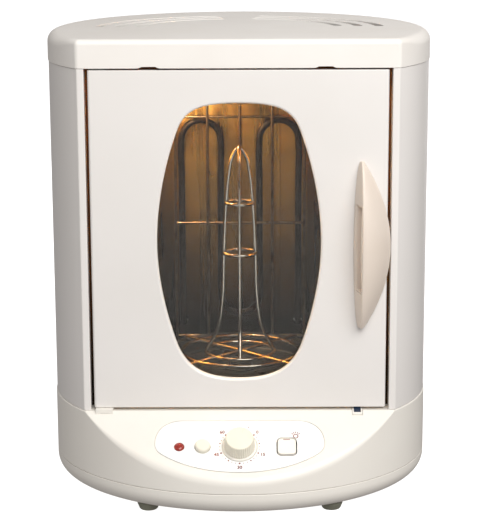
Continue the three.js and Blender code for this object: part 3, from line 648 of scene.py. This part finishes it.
def vent_outline(share, side):
    """One curved vent slot with round ends, on an oval of the vents' own."""
    start, end = asin(VENT_FRONT_Y / (VENT_DEPTH * share)), radians(80)
    half = VENT_HALF / HALF_WIDTH
    steps = 56

    def at(s, t):
        return side * HALF_WIDTH * s * cos(t), VENT_DEPTH * s * sin(t)

    angles = [start + (end - start) * i / steps for i in range(steps + 1)]
    turns = [radians(a) for a in (30, 60, 90, 120, 150)]
    swell = half / share
    outline = [at(share + half, t) for t in angles]
    outline += [at(share + half * cos(c), end + swell * sin(c)) for c in turns]
    outline += [at(share - half, t) for t in reversed(angles)]
    outline += [at(share - half * cos(c), start - swell * sin(c)) for c in turns]
    return outline if side > 0 else outline[::-1]


def notch(x):
    """A cutter for a shallow arch in the lid's lower edge."""
    low, high = COVER_Z, COVER_Z + 1.5
    arch = bezier((x - 11.5, low), (x - 7, low), (x - 8, high), (x - 5, high), 8)
    arch += bezier((x + 5, high), (x + 8, high), (x + 7, low), (x + 11.5, low), 8)
    outline = [(x - 12, low - 5), *arch, (x + 11.5, low), (x + 12, low - 5)]
    return prism(outline, 88, 100, UPRIGHT)


def cover_tab(reach, turn):
    """A tab that hangs from the lid's wall into the wrap."""
    inner, width = reach - 6.6, (-9, 9)
    root = block((inner, reach - 2.2), width, (COVER_Z + 0.4, COVER_Z + 8))
    hook = block((inner, reach - 3.8), width, (COVER_Z - 8, COVER_Z + 1))
    fused(root, hook).data.transform(spun(turn))
    return root


def build_cover():
    def lifted(point, height):
        return (*point, COVER_RIM_Z + COVER_RISE * point.y + height)

    contour = cover_contour()
    rings = [[(*p, COVER_Z) for p, n, r in contour]]
    for i in range(11):
        angle = pi / 2 * i / 10
        in_by, up_by = 1 - cos(angle), sin(angle) - 1
        rings.append([lifted(p - n * r * in_by, r * up_by) for p, n, r in contour])
    edge, centre = [Vector(p[:2]) for p in rings[-1]], Vector((0, 20))
    for share in (0.985, 0.95, 0.9, 0.8, 0.7, 0.6, 0.5, 0.4, 0.3, 0.2, 0.1, 0.0):
        crown = COVER_CROWN * (1 - share**2) ** 2
        rings.append([lifted(centre + (p - centre) * share, crown) for p in edge])
    lid = made(loft(rings, caps=(False, False)))
    if max(face.normal.z for face in lid.data.polygons) < 0.9:
        lid.data.flip_normals()
    thickened(lid, 2.4)
    fused(lid, cover_tab(REACH, 0), cover_tab(REACH * SQUASH, 90), cover_tab(REACH, 180))
    vents = [prism(vent_outline(share, side), 425, 455) for share in VENT_SHARES for side in (1, -1)]
    carve(lid, *vents, *[notch(x) for x in NOTCHES])
    piece(eased(lid, 0.4), LID_WHITE, "top_cover")


def build_wrap():
    ends = [x + side * LOUVRE_HALF for x in LOUVRES for side in (-1, 1)]
    half = oval_path(HALF_WIDTH, HALF_DEPTH, FRONT_Y, ends)
    lip = filleted([(LIP_X, FRAME_Y - 0.3), (LIP_X, FRONT_Y), half[0], half[2]], (1.0, 2.0))
    path = lip[:-1] + half[2:-2] + [(-x, y) for x, y in reversed(lip)][1:]
    rows = [330 + 12 * row for row in range(5)]
    tops = [z + LOUVRE_GAP for z in rows]
    heights = sorted({WALL_LOW, COVER_Z - 0.3, 395, *range(100, 330, 10), *rows, *tops})

    def is_louvre(x, y, z):
        across = any(abs(x - middle) < LOUVRE_HALF for middle in LOUVRES)
        return y > 100 and across and any(low < z < high for low, high in zip(rows, tops))

    wrap = eased(sheet(path, heights, 1.0, is_louvre), 0.25, 2, 60)
    piece(wrap, ENAMEL, "body_wrap")
    for where, side in SIDES.items():
        add_screw(f"wrap_screw_{where}", on_oval(side * WRAP_SCREW_X, WRAP_SCREW_Z) @ moved(z=0.3))


FOLD = 2.5  # radius between the deck and the slope
CORNER_EDGE = 1.2  # radius of the slope's edge up at its corners


def base_block(inset, edge, low):
    """The base, in from its outside by inset: an oval with a flat deck and a slope cut off its front.

    The edge of the slope is rounded most at the front, and hardly at all up at its two corners.
    """
    a = REACH - inset
    b = a * SQUASH
    deck = DECK_Z - inset
    fold_y = FRONT_Y + (deck + inset / cos(SLOPE) - SLOPE_Z) / tan(SLOPE)
    bend_y = fold_y + FOLD * tan(SLOPE / 2)

    def lean(y):
        return asin(min(sin(SLOPE), max(0.0, (bend_y - y) / FOLD)))

    def height(y):
        down_slope = max(0.0, bend_y - FOLD * sin(SLOPE) - y)
        return deck - FOLD * (1 - cos(lean(y))) - down_slope * tan(SLOPE)

    folds = [asin((bend_y - FOLD * sin(SLOPE) * k / 4) / b) for k in range(5)]
    grid = [radians(1.5 * i) for i in range(-60, 61)]
    angles = sorted([t for t in grid if min(abs(t - f) for f in folds) > 0.01] + folds)
    points = [(a * cos(t), b * sin(t)) for t in angles]
    points += [(-x, y) for x, y in reversed(points[1:-1])]
    rings = [[] for _ in range(11)]
    for x, y in points:
        n = Vector((x / a**2, y / b**2, 0)).normalized()
        s = Vector((0, -sin(lean(y)), cos(lean(y))))
        share = min(1.0, max(0.0, (bend_y - y) / (bend_y + b)))
        r = min(CORNER_EDGE, edge) + max(0.0, edge - CORNER_EDGE) * share * share * (3 - 2 * share)
        corner = Vector((x, y, height(y)))
        centre = corner - (n + s) * r / (1 + n.dot(s))
        rings[0].append(Vector((x, y, low)) - n * 0.4)
        rings[1].append(Vector((x, y, low + 0.4)))
        for k in range(9):
            rings[2 + k].append(centre + n.slerp(s, k / 8) * r)
    bm = loft(rings, caps=(True, False))
    bm.verts.ensure_lookup_table()
    rim = bm.verts[-len(points):]
    last = len(angles) - 1
    left = [rim[0], *[rim[-i] for i in range(1, last)], rim[last]]
    for i in range(last):
        bm.faces.new(tuple(dict.fromkeys((rim[i], rim[i + 1], left[i + 1], left[i]))))
    return made(bm)


def control_holes():
    """Cutters for the holes under the controls, drawn on the slope."""
    rounds = [(KNOB_X, KNOB_HOLE), (BUTTON_X, BUTTON_HOLE), (LAMP_X, LAMP_HOLE)]
    cutters = [prism(circle(x, CONTROL_Y, radius), -9, 8, ON_SLOPE) for x, radius in rounds]
    return cutters + [prism(switch_outline(), -9, 8, ON_SLOPE)]


def build_base():
    base = carve(base_block(0, 12, SEAM_Z + 0.2), base_block(3, CORNER_EDGE, 10))
    fused(base, *[rod(5, 11.3, 86.5, place) for place in PAN_SCREWS])
    pocket = prism(panel_outline(-0.65), -1.3, 4, ON_SLOPE)
    neck = rod(9, 70, 100, ON_AXIS, 0.1)
    pin = rod(PIN_HOLE, 84, 100, AT_HINGE, 0.1)
    catch = catch_block(5, (-98, -80), (83, 100))
    gland = rod(8, -20, 20, on_oval(GLAND_X, GLAND_Z), 0.1)
    threads = [rod(2.2, 0, 25, place, 0.1) for place in PAN_SCREWS]
    carve(base, pocket, *control_holes(), neck, pin, catch, gland, *threads)
    piece(eased(base, 0.3, 2, 55), WHITE, "base_housing")


def build_underside():
    low, bend, wall = 8, 16, 3
    mouth = SEAM_Z - 0.2
    profile = [(0, low)] + arc(REACH - bend, low + bend, bend, -90, 0, 12)
    profile += [(REACH, mouth - 0.4), (REACH - 0.4, mouth), (REACH - wall, mouth)]
    profile += arc(REACH - bend, low + bend, bend - wall, 0, -90, 8) + [(0, low + wall)]
    pan = turned(profile, sides=240, squash=SQUASH)
    vents = [block((-35, 35), (y - 2.5, y + 2.5), (0, 20)) for y in range(-28, 29, 14)]
    holes = [rod(2.2, 0, 20, place, 0.1) for place in PAN_SCREWS]
    piece(eased(carve(pan, *vents, *holes), 0.4, 2, 60), WHITE, "bottom_pan")
    sole = [(0, 1), (5, 1), (5.8, 0), (7, 0), (8, 0.3), (8.8, 1.2), (10.6, 5.7), (10.8, 6.4)]
    sole += [(10.8, low), (0, low)]
    for where, (sx, sy) in CORNERS.items():
        foot = turned(sole, moved(sx * FOOT_X, sy * FOOT_Y))
        piece(foot, RUBBER, f"foot_{where}")
        hang = moved(sx * PAN_SCREW_X, sy * PAN_SCREW_Y, low - 0.3) @ spun(180, "X")
        add_screw(f"pan_screw_{where}", hang, 2, 9)


# ---- cavity ----
LINER_X, LINER_Y, LINER_WALL, LINER_GAP = 164, 142, 1.2, 0.6
FLOOR_Z, CEILING_Z = 93, 405.8
ELEMENT_X, ELEMENT_Y, ELEMENT_LOW, ELEMENT_HIGH = 60, 113, 120, 335
OVEN_LAMP, CUTOUT = (-70, 30), (60, 40)


def along_y(x, z):
    """Lays what was drawn along Z out along Y."""
    return moved(x, 0, z) @ spun(-90, "X")


def cavity_plate(low, *holes):
    inward = LINER_WALL + LINER_GAP
    path = oval_path(LINER_X - inward, LINER_Y - inward, FRAME_Y + 2)
    return plate([path, *holes], low, low + LINER_WALL)


def lead_holes(radius):
    """Cutters where the element's ends go back."""
    return [rod(radius, 100, 170, along_y(x, ELEMENT_LOW), 0.1) for x in (-ELEMENT_X, ELEMENT_X)]


def build_cavity():
    heights = [WALL_LOW, *range(100, 410, 10), 411]
    wall = sheet(oval_path(LINER_X, LINER_Y, FRAME_Y + 1.5), heights, LINER_WALL)
    carve(wall, *lead_holes(4.2))
    piece(eased(wall, 0.3, 2, 60), GOLD, "cavity_liner")
    floor = cavity_plate(FLOOR_Z, circle(0, TURN_Y, 8))
    piece(floor, GOLD, "cavity_floor")
    ceiling = cavity_plate(CEILING_Z, circle(*OVEN_LAMP, 13.5), circle(*CUTOUT, 3))
    piece(ceiling, GOLD, "cavity_ceiling")
    edge = rounded_rectangle(-146, 146, WALL_LOW, 417, 2)
    mouth = rounded_rectangle(-130, 130, 97, 403, 20, 16)
    surround = upright_plate([edge, mouth], FRAME_Y, FRAME_Y + LINER_WALL)
    # the frame takes the darker copy of the gold: painted shade in the gaps round the door
    piece(surround, FRONT_SHEET_PAINTED_SHADE, "front_frame")


def element_path():
    """Four runs up and down with round bends, the ends going back through the liner."""
    bend, last = 20, 3
    lead = [(144, 0), (127, 0), (117, 2), (ELEMENT_Y, 7)]
    points = [(-ELEMENT_X, y, ELEMENT_LOW + up) for y, up in lead]
    for run in range(last + 1):
        x, way = 2 * bend * run - ELEMENT_X, (1, -1)[run % 2]
        start, end = [ELEMENT_LOW + bend + 12, ELEMENT_HIGH - bend][::way]
        points += [(x, ELEMENT_Y, start + (end - start) * k / 4) for k in range(5)]
        turns = map(radians, (22, 45, 68, 90, 112, 135, 158) if run < last else ())
        points += [(x + bend - bend * cos(a), ELEMENT_Y, end + way * bend * sin(a)) for a in turns]
    return points + [(ELEMENT_X, y, z) for x, y, z in points[3::-1]]


def build_heater():
    piece(wires([element_path()], 3.3), SHEATH, "heating_element")
    back = block((-70, 70), (124.4, 125.4), (104, 352.6), 0.3)
    top = block((-70, 70), (116, 125.4), (352, 353), 0.3)
    ribs = [block((x - 2, x + 2), (123.6, 125), (125, 335), 0.6) for x in (-40, 0, 40)]
    carve(back, *lead_holes(5))
    piece(joined(back, top, *ribs), GOLD, "heat_reflector")
    y, side, low, high = 100, 66, 110, 340
    uprights = [[(x, y, 98), (x, y, 352)] for x in (-side, -side / 2, 0, side / 2, side)]
    rails = [[(-side - 1, y + 2, z), (side + 1, y + 2, z)] for z in (low, 230, high)]
    stays = [[(x, y, z), (x, 124.1, z)] for x in (-side, side) for z in (low, high)]
    guard = wires(uprights + rails + stays, 1.4, smooth=False)
    piece(guard, DULL_WIRE, "element_guard")
    profile = [(3.7, 0), (7.7, 0), (8, 0.3), (8, 3.7), (7.7, 4), (4.1, 6), (3.7, 6)]
    for where, side in SIDES.items():
        lay = along_y(side * ELEMENT_X, ELEMENT_LOW) @ moved(z=135.4)
        bush = turned(profile, lay, closed=True)
        piece(bush, CERAMIC, f"element_bush_{where}")


def build_cooking_lamp():
    place = moved(*OVEN_LAMP)
    dome = [(21.6, 405.6), (22, 405.2), (22, 402.8), (21.4, 399), (20, 394.8), (16.5, 390.8), (12, 388.6)]
    dome += [(6, 387.1), (0, 386.8)]
    dome += [(0, 388.8), (11, 390.6), (15, 392.6), (18, 395.8), (19, 402.8), (19, 405.6)]
    piece(turned(dome, place, closed=True), LAMP_GLASS, "lamp_cover")
    bulb = [(0, 392), (3, 392.4), (5, 393.2), (7, 394.9), (8.4, 397), (9, 399), (9, 401), (8.3, 403)]
    bulb += [(7, 405), (5.6, 407), (5, 408.5), (5, 411.6), (0, 411.6)]
    piece(turned(bulb, place), BULB, "lamp_bulb")
    shell = [(9.5, 411.9), (9.5, 407.3), (12.7, 407.3), (13, 407.6), (13, 429.7), (12.7, 430)]
    shell += [(0, 430), (0, 411.9)]
    piece(turned(shell, place, closed=True), CERAMIC, "lamp_socket")
    disc = [(0, 404.4), (2.3, 404.4), (2.6, 404.7), (2.6, 407.3), (7.7, 407.3), (8, 407.6), (8, 412.7)]
    disc += [(7.7, 413), (0, 413)]
    piece(turned(disc, moved(*CUTOUT)), CERAMIC, "thermal_cutout")


# ---- door ----
DOOR_X, DOOR_LOW, DOOR_HIGH, DOOR_BACK, SKIN = 137.3, 91.8, 410.9, -81.0, 2.5
GLASS_FRONT, GLASS_BACK = -85.4, -81.4
RIDGE_X, HANDLE_Z, HANDLE_HALF, HANDLE_BLUNT_Z = 112.8, 247, 80, 170.6
HANDLE_SCREWS = {"lower": 192, "upper": 302}
SCREW_X = 116


def window_cutter():
    """The window's hole, rolled over at the front."""
    roll = 2.2
    levels = [(60, 0)]
    levels += [(roll * (y - 1) - FRONT_Y, roll * (1 - x)) for x, y in arc(0, 0, 1, 0, 90, 6)]
    levels.append((110, roll))
    return made(loft([level(window_outline(grow), z) for z, grow in levels]), UPRIGHT)


def build_door_panel():
    bend = 2.5
    corner = arc(DOOR_X - bend, FRONT_Y + bend, bend, 270, 360, 6)
    front = [(-x, y) for x, y in reversed(corner)] + corner
    door = prism(front + [(DOOR_X, DOOR_BACK), (-DOOR_X, DOOR_BACK)], DOOR_LOW, DOOR_HIGH)
    side = DOOR_X - SKIN
    tray = block((-side, side), (FRONT_Y + SKIN, 0), (DOOR_LOW + SKIN, DOOR_HIGH - SKIN))
    collar = prism(window_outline(3), 85.7, 91, UPRIGHT)
    fused(carve(door, tray), collar)
    pin = rod(2.9, 0, 500, AT_HINGE)
    screws = [rod(2.3, -100, -80, along_y(SCREW_X, z)) for z in HANDLE_SCREWS.values()]
    carve(door, window_cutter(), pin, *screws)
    piece(eased(door, 0.7, 4, 55), ENAMEL, "door_panel")


def build_door_glass():
    edge = rounded_rectangle(-92, 92, WINDOW_Z - 146, WINDOW_Z + 146, 3)
    piece(upright_plate([edge], GLASS_FRONT, GLASS_BACK, 0.5), GLASS, "door_glass")


def build_glass_retainer():
    edge = rounded_rectangle(-134.5, 134.5, 94.6, 408.1, 2)
    holder = upright_plate([edge, window_outline(5)], -81.1, -79.1, 0.4)
    heads = [(0, 0.7), (1.6, 0.6), (2.6, 0.1), (2.8, -0.5), (0, -0.5)]
    places = [(x, z) for x in (-112, 112) for z in (108, 394)] + [(x, WINDOW_Z) for x in (-112, 112)]
    turns = [along_y(x, z) @ moved(z=-79.1) for x, z in places]
    holder = joined(holder, *[turned(heads, turn, sides=32) for turn in turns])
    piece(holder, GOLD, "glass_retainer")


def handle_section(s, shift=0.0):
    """A section of the handle across Z, at s from -1 to 1 along it."""
    z = HANDLE_Z + HANDLE_HALF * s
    bow = max(0.0, 1 - s * s)
    rise = 4 + 23 * bow**0.6
    left = RIDGE_X - 1 - 6 * sqrt(bow)
    reach = 2 + 25.4 * bow
    ease = min(1.5, 0.25 * reach + 0.2)

    def face(u):
        return RIDGE_X + reach * u, 2.6 + (rise - 2.6) * (1 - u**1.9)

    ridge, near = Vector((RIDGE_X, rise)), Vector(face(ease / reach))
    wall = ridge + (Vector((left, 0)) - ridge).normalized() * ease
    steps = (0, 0.2, 0.4, 0.6, 0.8, 1)
    rounding = [(1 - t) ** 2 * wall + 2 * t * (1 - t) * ridge + t * t * near for t in steps]
    start = ease / reach
    slope = [face(start + (1 - start) * k / 12) for k in range(1, 12)]
    tip = [(RIDGE_X + reach - 0.15, 2.75), (RIDGE_X + reach, 2.3), (RIDGE_X + reach, 1)]
    outline = [(left, 0), *rounding, *slope, *tip, (RIDGE_X + reach * 0.9, 0)]
    return [(x + shift, FRONT_Y - 0.3 - out, z) for x, out in outline]


def scoop(inset, mouth_x):
    """The finger recess, open to the left; inset makes it smaller all round."""
    front, back = -113 + inset, -96.5 - inset
    near, far = 113.5 - inset, 124 - inset
    outline = [(mouth_x, front), (near, front), (far, front + 9), (far, back), (mouth_x, back)]
    return prism(outline, 206 + inset, 288 - inset)


def handle_body(shift=0.0):
    """The lens-shaped handle, cut square at its lower end."""
    blunt_end = (HANDLE_BLUNT_Z - HANDLE_Z) / HANDLE_HALF
    curve = [-cos(pi * i / 40) for i in range(41)]
    stations = [blunt_end] + [s for s in curve if s > blunt_end + 0.01]
    return made(loft([handle_section(s, shift) for s in stations]))


def build_handle():
    holes = [rod(1.9, -100, -85, along_y(SCREW_X, z)) for z in HANDLE_SCREWS.values()]
    handle = carve(handle_body(), scoop(0, 90), *holes)
    piece(eased(handle, 0.5, 3, 60), CREAM, "door_handle")
    cup = carve(scoop(0.3, 90.5), scoop(1.5, 90))
    carve(cup, handle_body(1), operation="INTERSECT")
    piece(eased(cup, 0.2, 2, 60), CREAM, "handle_insert")
    for where, z in HANDLE_SCREWS.items():
        add_screw(f"handle_screw_{where}", moved(SCREW_X, FRONT_Y + SKIN + 0.1, z) @ spun(-90, "X"))


# ---- hinge pins and catch ----
def over_slope():
    """Everything above the sloping face."""
    return block((-300, 300), (-300, 200), (0, 300), matrix=ON_SLOPE)


def build_hinges():
    lug_x = (-136, -119.5)
    sill = block(lug_x, (-96.5, -80), (86.5, DOOR_LOW - 0.4))
    deck = block((-200, 0), (-94, 0), (0, DECK_Z + 0.3))
    slope = block((-200, 0), (-60, -1), (-40, 0.3), matrix=ON_SLOPE)
    carve(sill, deck, slope, rod(PIN_HOLE, 0, 500, AT_HINGE))
    piece(eased(sill, 0.3), WHITE, "lower_hinge_bracket")
    piece(rod(PIN, 84, 102.8, AT_HINGE), STEEL, "lower_hinge_pin")
    arm = block(lug_x, (-88.5, -80), (411.3, 413.1))
    fused(arm, block(lug_x, (-84, FRAME_Y - 0.3), (411.3, 416.5)))
    carve(arm, rod(PIN_HOLE, 0, 500, AT_HINGE))
    piece(eased(arm, 0.3), STEEL, "upper_hinge_bracket")
    piece(rod(PIN, 399.9, 413.1, AT_HINGE), STEEL, "upper_hinge_pin")


def catch_block(half, y, z):
    return block((CATCH_X - half, CATCH_X + half), y, z)


def build_catch():
    holder = catch_block(4.7, (-96.5, -80.4), (83.5, 89.8))
    well = catch_block(3.3, (-95, -82), (85.6, 100))
    piece(eased(carve(holder, over_slope(), well), 0.2), WHITE, "catch_holder")
    magnet = catch_block(3, (-94.7, -82.3), (85.9, 91.3))
    piece(eased(carve(magnet, over_slope()), 0.3), DARK, "magnetic_catch")


# ---- controls, drawn on the slope ----
def on_slope_at(x, y=CONTROL_Y, turn=0.0):
    return ON_SLOPE @ moved(x, y) @ spun(turn)


def fluted_knob():
    """The timer's tapering knob, with rounded flutes down its side."""
    foot, top, low, high, roll, flutes = 14.5, 13.2, 1.3, 14.2, 1.6, 40
    angles = [pi * i / (4 * flutes) for i in range(8 * flutes)]

    def ring(radius, z, depth):
        waves = [radius - depth * (0.5 - 0.5 * cos(flutes * a)) for a in angles]
        return [(r * cos(a), r * sin(a), z) for r, a in zip(waves, angles)]

    rings = [ring(foot - 0.4, low, 0.6), ring(foot, low + 0.4, 0.6)]
    for x, y in arc(0, 0, 1, 0, 90, 6):
        rings.append(ring(top + roll * (x - 1), high + roll * (y - 1), 0.5 * x))
    rings.append(ring(top - 2 * roll, high - 0.25, 0))
    return made(loft(rings), on_slope_at(KNOB_X))


def build_panel():
    rounds = [(KNOB_X, BEZEL_HOLE), (BUTTON_X, BUTTON_HOLE), (LAMP_X, LAMP_HOLE)]
    holes = [circle(x, CONTROL_Y, radius) for x, radius in rounds]
    panel = plate([panel_outline(), *holes, switch_outline()], -1, 0.2, 0.15, 2, ON_SLOPE)
    piece(panel, PRINT_FILM, "control_plate")


def build_bezel():
    ring = [(5, -1), (16.1, -1), (16.1, 0.1), (15.9, 0.4), (15.4, 0.8), (15, 0.9), (5, 0.9)]
    bezel = turned(ring, on_slope_at(KNOB_X), closed=True, sides=128)
    piece(bezel, WHITE, "timer_bezel")


def build_timer():
    place = on_slope_at(KNOB_X)
    bore = rod(3.3, -5, 9, place)
    pointer = block((-0.5, 0.5), (6.5, 12), (13.4, 20), matrix=on_slope_at(KNOB_X, turn=-20))
    piece(eased(carve(fluted_knob(), bore, pointer), 0.15, 2, 60), KNOB_IVORY, "timer_knob")
    piece(rod(3, -5.7, 8.5, place), STEEL, "timer_shaft")
    piece(joined(rod(20, -24, -8, place), rod(9, -9, -6, place)), STEEL, "timer_body")


def build_push_button():
    place = on_slope_at(BUTTON_X)
    top = [(7.1, 2.4), (6.9, 3.2), (6.3, 3.9), (5.4, 4.3), (4, 4.4), (0, 4.1)]
    cap = [(0, -4), (6.8, -4), (7.1, -3.7), *top]
    piece(turned(cap, place), KNOB_IVORY, "motor_button")
    cup = [(0, -7.4), (7.6, -7.4), (7.6, -3.4), (9.2, -3.4), (9.5, -3.7), (9.5, -10), (0, -10)]
    case = block((-6.5, 6.5), (-6.5, 6.5), (-22, -9.5), 0.5, place)
    piece(joined(turned(cup, place), case), DARK, "motor_switch")


def build_rocker():
    tilt = ON_SLOPE @ moved(0, CONTROL_Y, -3) @ spun(-5, "X") @ moved(0, -CONTROL_Y, 3)
    rocker = plate([switch_outline(1.0)], -6, 1, 0.9, 4, tilt)
    piece(rocker, WHITE, "lamp_button")
    bar = rounded_rectangle(SWITCH_X - 3.2, SWITCH_X + 3.2, CONTROL_Y + 7.2, CONTROL_Y + 8.0, 0.35, 4)
    bar = plate([bar], 0.98, 1.03, 0.01, 0, tilt)
    dressed(bar, "lamp_button_mark", INK, "lamp_rocker")
    box = prism(switch_outline(-2), -20, -3.4, ON_SLOPE)
    well = prism(switch_outline(-0.6), -8.4, 0, ON_SLOPE)
    piece(eased(carve(box, well), 0.3), DARK, "lamp_switch")


def build_indicator():
    lens = [(0, -9), (3.4, -9), (3.4, -5), (4.6, -5), (4.6, 0.3), (4.3, 0.6), (3.9, 0.5), (3.7, 0.7)]
    lens += [(3, 1.3), (1.6, 1.52), (0, 1.6)]
    piece(turned(lens, on_slope_at(LAMP_X)), RED, "indicator_lens")


INK_Z, INK_TOP = 0.15, 0.24


def around_dial(turn, radius):
    """A place on the timer's scale, turned clockwise from the top."""
    angle = radians(turn)
    return KNOB_X + radius * sin(angle), CONTROL_Y + radius * cos(angle)


def lettering(text, size, x, y):
    curve = bpy.data.curves.new("letters", "FONT")
    curve.body, curve.size = text, size
    curve.align_x, curve.align_y = "CENTER", "CENTER"
    curve.extrude, curve.offset = (INK_TOP - INK_Z) / 2, 0.13
    curve.resolution_u = 4
    obj = bake(linked("letters", curve))
    obj.data.transform(TO_METRES @ ON_SLOPE @ moved(x, y, (INK_Z + INK_TOP) / 2))
    return obj


def printed(*outlines):
    return plate(outlines, INK_Z, INK_TOP, 0.02, 0, ON_SLOPE)


def build_print():
    """The timer's dots and numbers, and a small lamp sign by the rocker."""
    first, per_minute, off = 45, 4.5, 20  # degrees clockwise from the top
    marks = []
    for step in range(25):
        radius = 0.85 if step % 6 == 0 else 0.7 if step % 3 == 0 else 0.42
        x, y = around_dial(first + 2.5 * per_minute * step, 18.7)
        marks.append(printed(circle(x, y, radius, 16)))
    marks.append(printed(circle(*around_dial(off, 23.5), 0.5, 16)))
    for number in (0, 15, 30, 45, 60):
        marks.append(lettering(str(number), 4.6, *around_dial(first + per_minute * number, 23.2)))
    x, y = 52.3, -31.5
    marks.append(printed(circle(x, y, 2.5), circle(x, y, 1.7)))
    for turn in (-50, -25, 0, 25, 50):
        marks.append(block((-0.35, 0.35), (3.3, 5.0), (INK_Z, INK_TOP), matrix=on_slope_at(x, y, turn)))
    dressed(joined(*marks), "dial_print", INK, "housing")


# ---- drive, drip pan and poultry rack, drawn about the turntable's axis ----
RING_Z, RACK_TOP, WIRE = 118.6, 322, 1.9


def build_drive():
    motor = rod(24, 60, 83.7, ON_AXIS, 1)
    flange = block((-34, 34), (-6, 6), (82.7, 85.7), 0.4, ON_AXIS)
    neck = rod(8, 80, 88, ON_AXIS)
    piece(joined(motor, flange, neck), STEEL, "gear_motor")
    piece(rod(4, 88.3, 97, ON_AXIS), STEEL, "drive_shaft")
    coupling = [(0, 106), (5.7, 106), (6.2, 105.9), (7.8, 104.7), (8, 104.3), (8, 99.9), (8.5, 99.4)]
    coupling += [(25.7, 99.4), (26, 99.1), (26, 96.5), (25.7, 96.2), (4.3, 96.2), (4.3, 97.3), (0, 97.3)]
    piece(turned(coupling, ON_AXIS), STEEL, "drive_coupling")


def build_drip_pan():
    corners = [(12.3, 101), (72, 101), (77, 115.3), (81.4, 116.3), (82, 115.8), (81.4, 115.1), (77.9, 114.4)]
    corners += [(72.9, 99.8), (12.3, 99.8)]
    dish = filleted(corners, (4, 2, 0.4, 0.3, 0.3, 1.5, 4))
    piece(turned(dish, ON_AXIS, closed=True, sides=160), NON_STICK, "drip_pan")
    boss = [(0, 110), (9.4, 110), (10.2, 109.8), (11.4, 108.4), (11.6, 107.8), (12, 102.8), (12.5, 102.3)]
    boss += [(15.7, 102.3), (16, 102), (16, 101.5), (15.8, 101.3), (12, 101.3), (12, 99.8), (10.6, 99.8)]
    boss += [(10.2, 107.6), (9, 108.6), (0, 108.6)]
    piece(turned(boss, ON_AXIS, closed=True), NON_STICK, "pan_boss")


def hoop(turn):
    """One bent wire: up one side of the rack, over the top and down the other."""
    side = [(34, 0), (29, 9), (22, 24), (17.5, 50), (15.5, 100), (13, 150), (10, 180), (6, 197)]
    lift = WIRE * 1.1 if turn else 0
    path = side + [(0, RACK_TOP - RING_Z)] + [(-r, up) for r, up in side[::-1]]
    points = [Vector((r, 0, RING_Z + up + (lift if up > 190 else 0))) for r, up in path]
    return [spun(turn) @ p for p in points]


def build_rack():
    def bar(turn, *ends):
        return [spun(turn) @ Vector((x, 0, RING_Z + up)) for x, up in ends]

    straight = [bar(turn, (-80, 0), (80, 0)) for turn in (45, 135)]
    straight += [bar(turn, (72, -8), (72, 0)) for turn in (45, 135, 225, 315)]
    circles = [(58, 0), (34, 0), (15.4, 100), (12.9, 150)]
    rings = [level(circle(0, 0, radius, 20), RING_Z + up) for radius, up in circles]
    bars = wires(straight, WIRE, matrix=ON_AXIS, smooth=False)
    bends = wires([hoop(0), hoop(90)], WIRE, rings, ON_AXIS)
    piece(joined(bars, bends), CHROME, "poultry_rack")


def build_mains():
    gland = [(3.6, 0), (7.6, 0), (7.6, 9), (9.7, 9), (10, 9.3), (10, 11.7), (9.7, 12.1), (6.3, 16), (3.6, 16)]
    stand = on_oval(GLAND_X, GLAND_Z) @ moved(z=OVERHANG + 0.3 - 9)
    piece(turned(gland, stand, closed=True), DARK, "cord_gland")
    strip = block((60, 96), (84, 98), (11.3, 24), 0.8)
    posts = [rod(3, 23, 26, moved(x, 91)) for x in (66, 78, 90)]
    piece(joined(strip, *posts), CERAMIC, "terminal_block")


for build in (
    build_cover, build_wrap, build_base, build_underside, build_cavity, build_heater, build_cooking_lamp,
    build_door_panel, build_door_glass, build_glass_retainer, build_handle, build_hinges, build_catch,
    build_panel, build_bezel, build_timer, build_push_button, build_rocker, build_indicator, build_print,
    build_drive, build_drip_pan, build_rack, build_mains,
):
    build()


# ---- floor, lights and camera ----
def build_floor():
    bm = bmesh.new()
    bmesh.ops.create_grid(bm, x_segments=1, y_segments=1, size=60000)
    floor = made(bm)
    floor.name = "floor"
    s = Surface("studio_floor", Roughness=0.9, Emission_Strength=0.9)
    s.colours(s.spread(s.noise(0.8, 2), 0, 1), "F7F7F6", "F4F4F3")
    s.shader.inputs["Emission Color"].default_value = (1, 1, 1, 1)
    floor.data.materials.append(s.material)
    floor.visible_diffuse = floor.visible_glossy = False


def lamp(name, kind, energy, colour, place, aim_z=220, **settings):
    """A light aimed at the oven's axis."""
    data = bpy.data.lights.new(name, kind)
    data.energy, data.color = energy, colour
    for key, value in settings.items():
        setattr(data, key, value)
    obj = linked(name, data)
    obj.location = Vector(place) * MM
    obj.rotation_euler = (Vector((0, 0, aim_z)) - Vector(place)).to_track_quat("-Z", "Y").to_euler()


def build_light():
    lamp("key", "AREA", 31, (1, 0.995, 0.975), (480, -1290, 1300), shape="DISK", size=1.5)
    lamp("left_fill", "AREA", 2.2, (0.97, 1, 0.98), (-1600, -350, 500), shape="DISK", size=1.2)
    lamp("back_fill", "AREA", 2.5, (1, 0.98, 0.96), (300, 1700, 250), 200, shape="DISK", size=1.5)
    lamp("cooking_lamp", "POINT", 3.0, (1, 0.84, 0.6), (*OVEN_LAMP, 380), 0, shadow_soft_size=0.012)
    world = bpy.data.worlds.new("studio")
    world.use_nodes = True
    inputs = world.node_tree.nodes["Background"].inputs
    inputs["Color"].default_value, inputs["Strength"].default_value = (1, 0.955, 0.935, 1), 0.3
    bpy.context.scene.world = world
    bpy.context.scene.view_settings.view_transform = "Standard"


def build_camera():
    down, left, roll = 12.83, 0.2, -0.22  # degrees
    data = bpy.data.cameras.new("camera")
    data.lens, data.sensor_width = 126.4, 36
    camera = linked("camera", data)
    place = Matrix.Translation(Vector((10.8, -1749.3, 610.9)) * MM)
    camera.matrix_world = place @ spun(left) @ spun(90 - down, "X") @ spun(roll)
    bpy.context.scene.camera = camera


build_floor()
build_light()
build_camera()
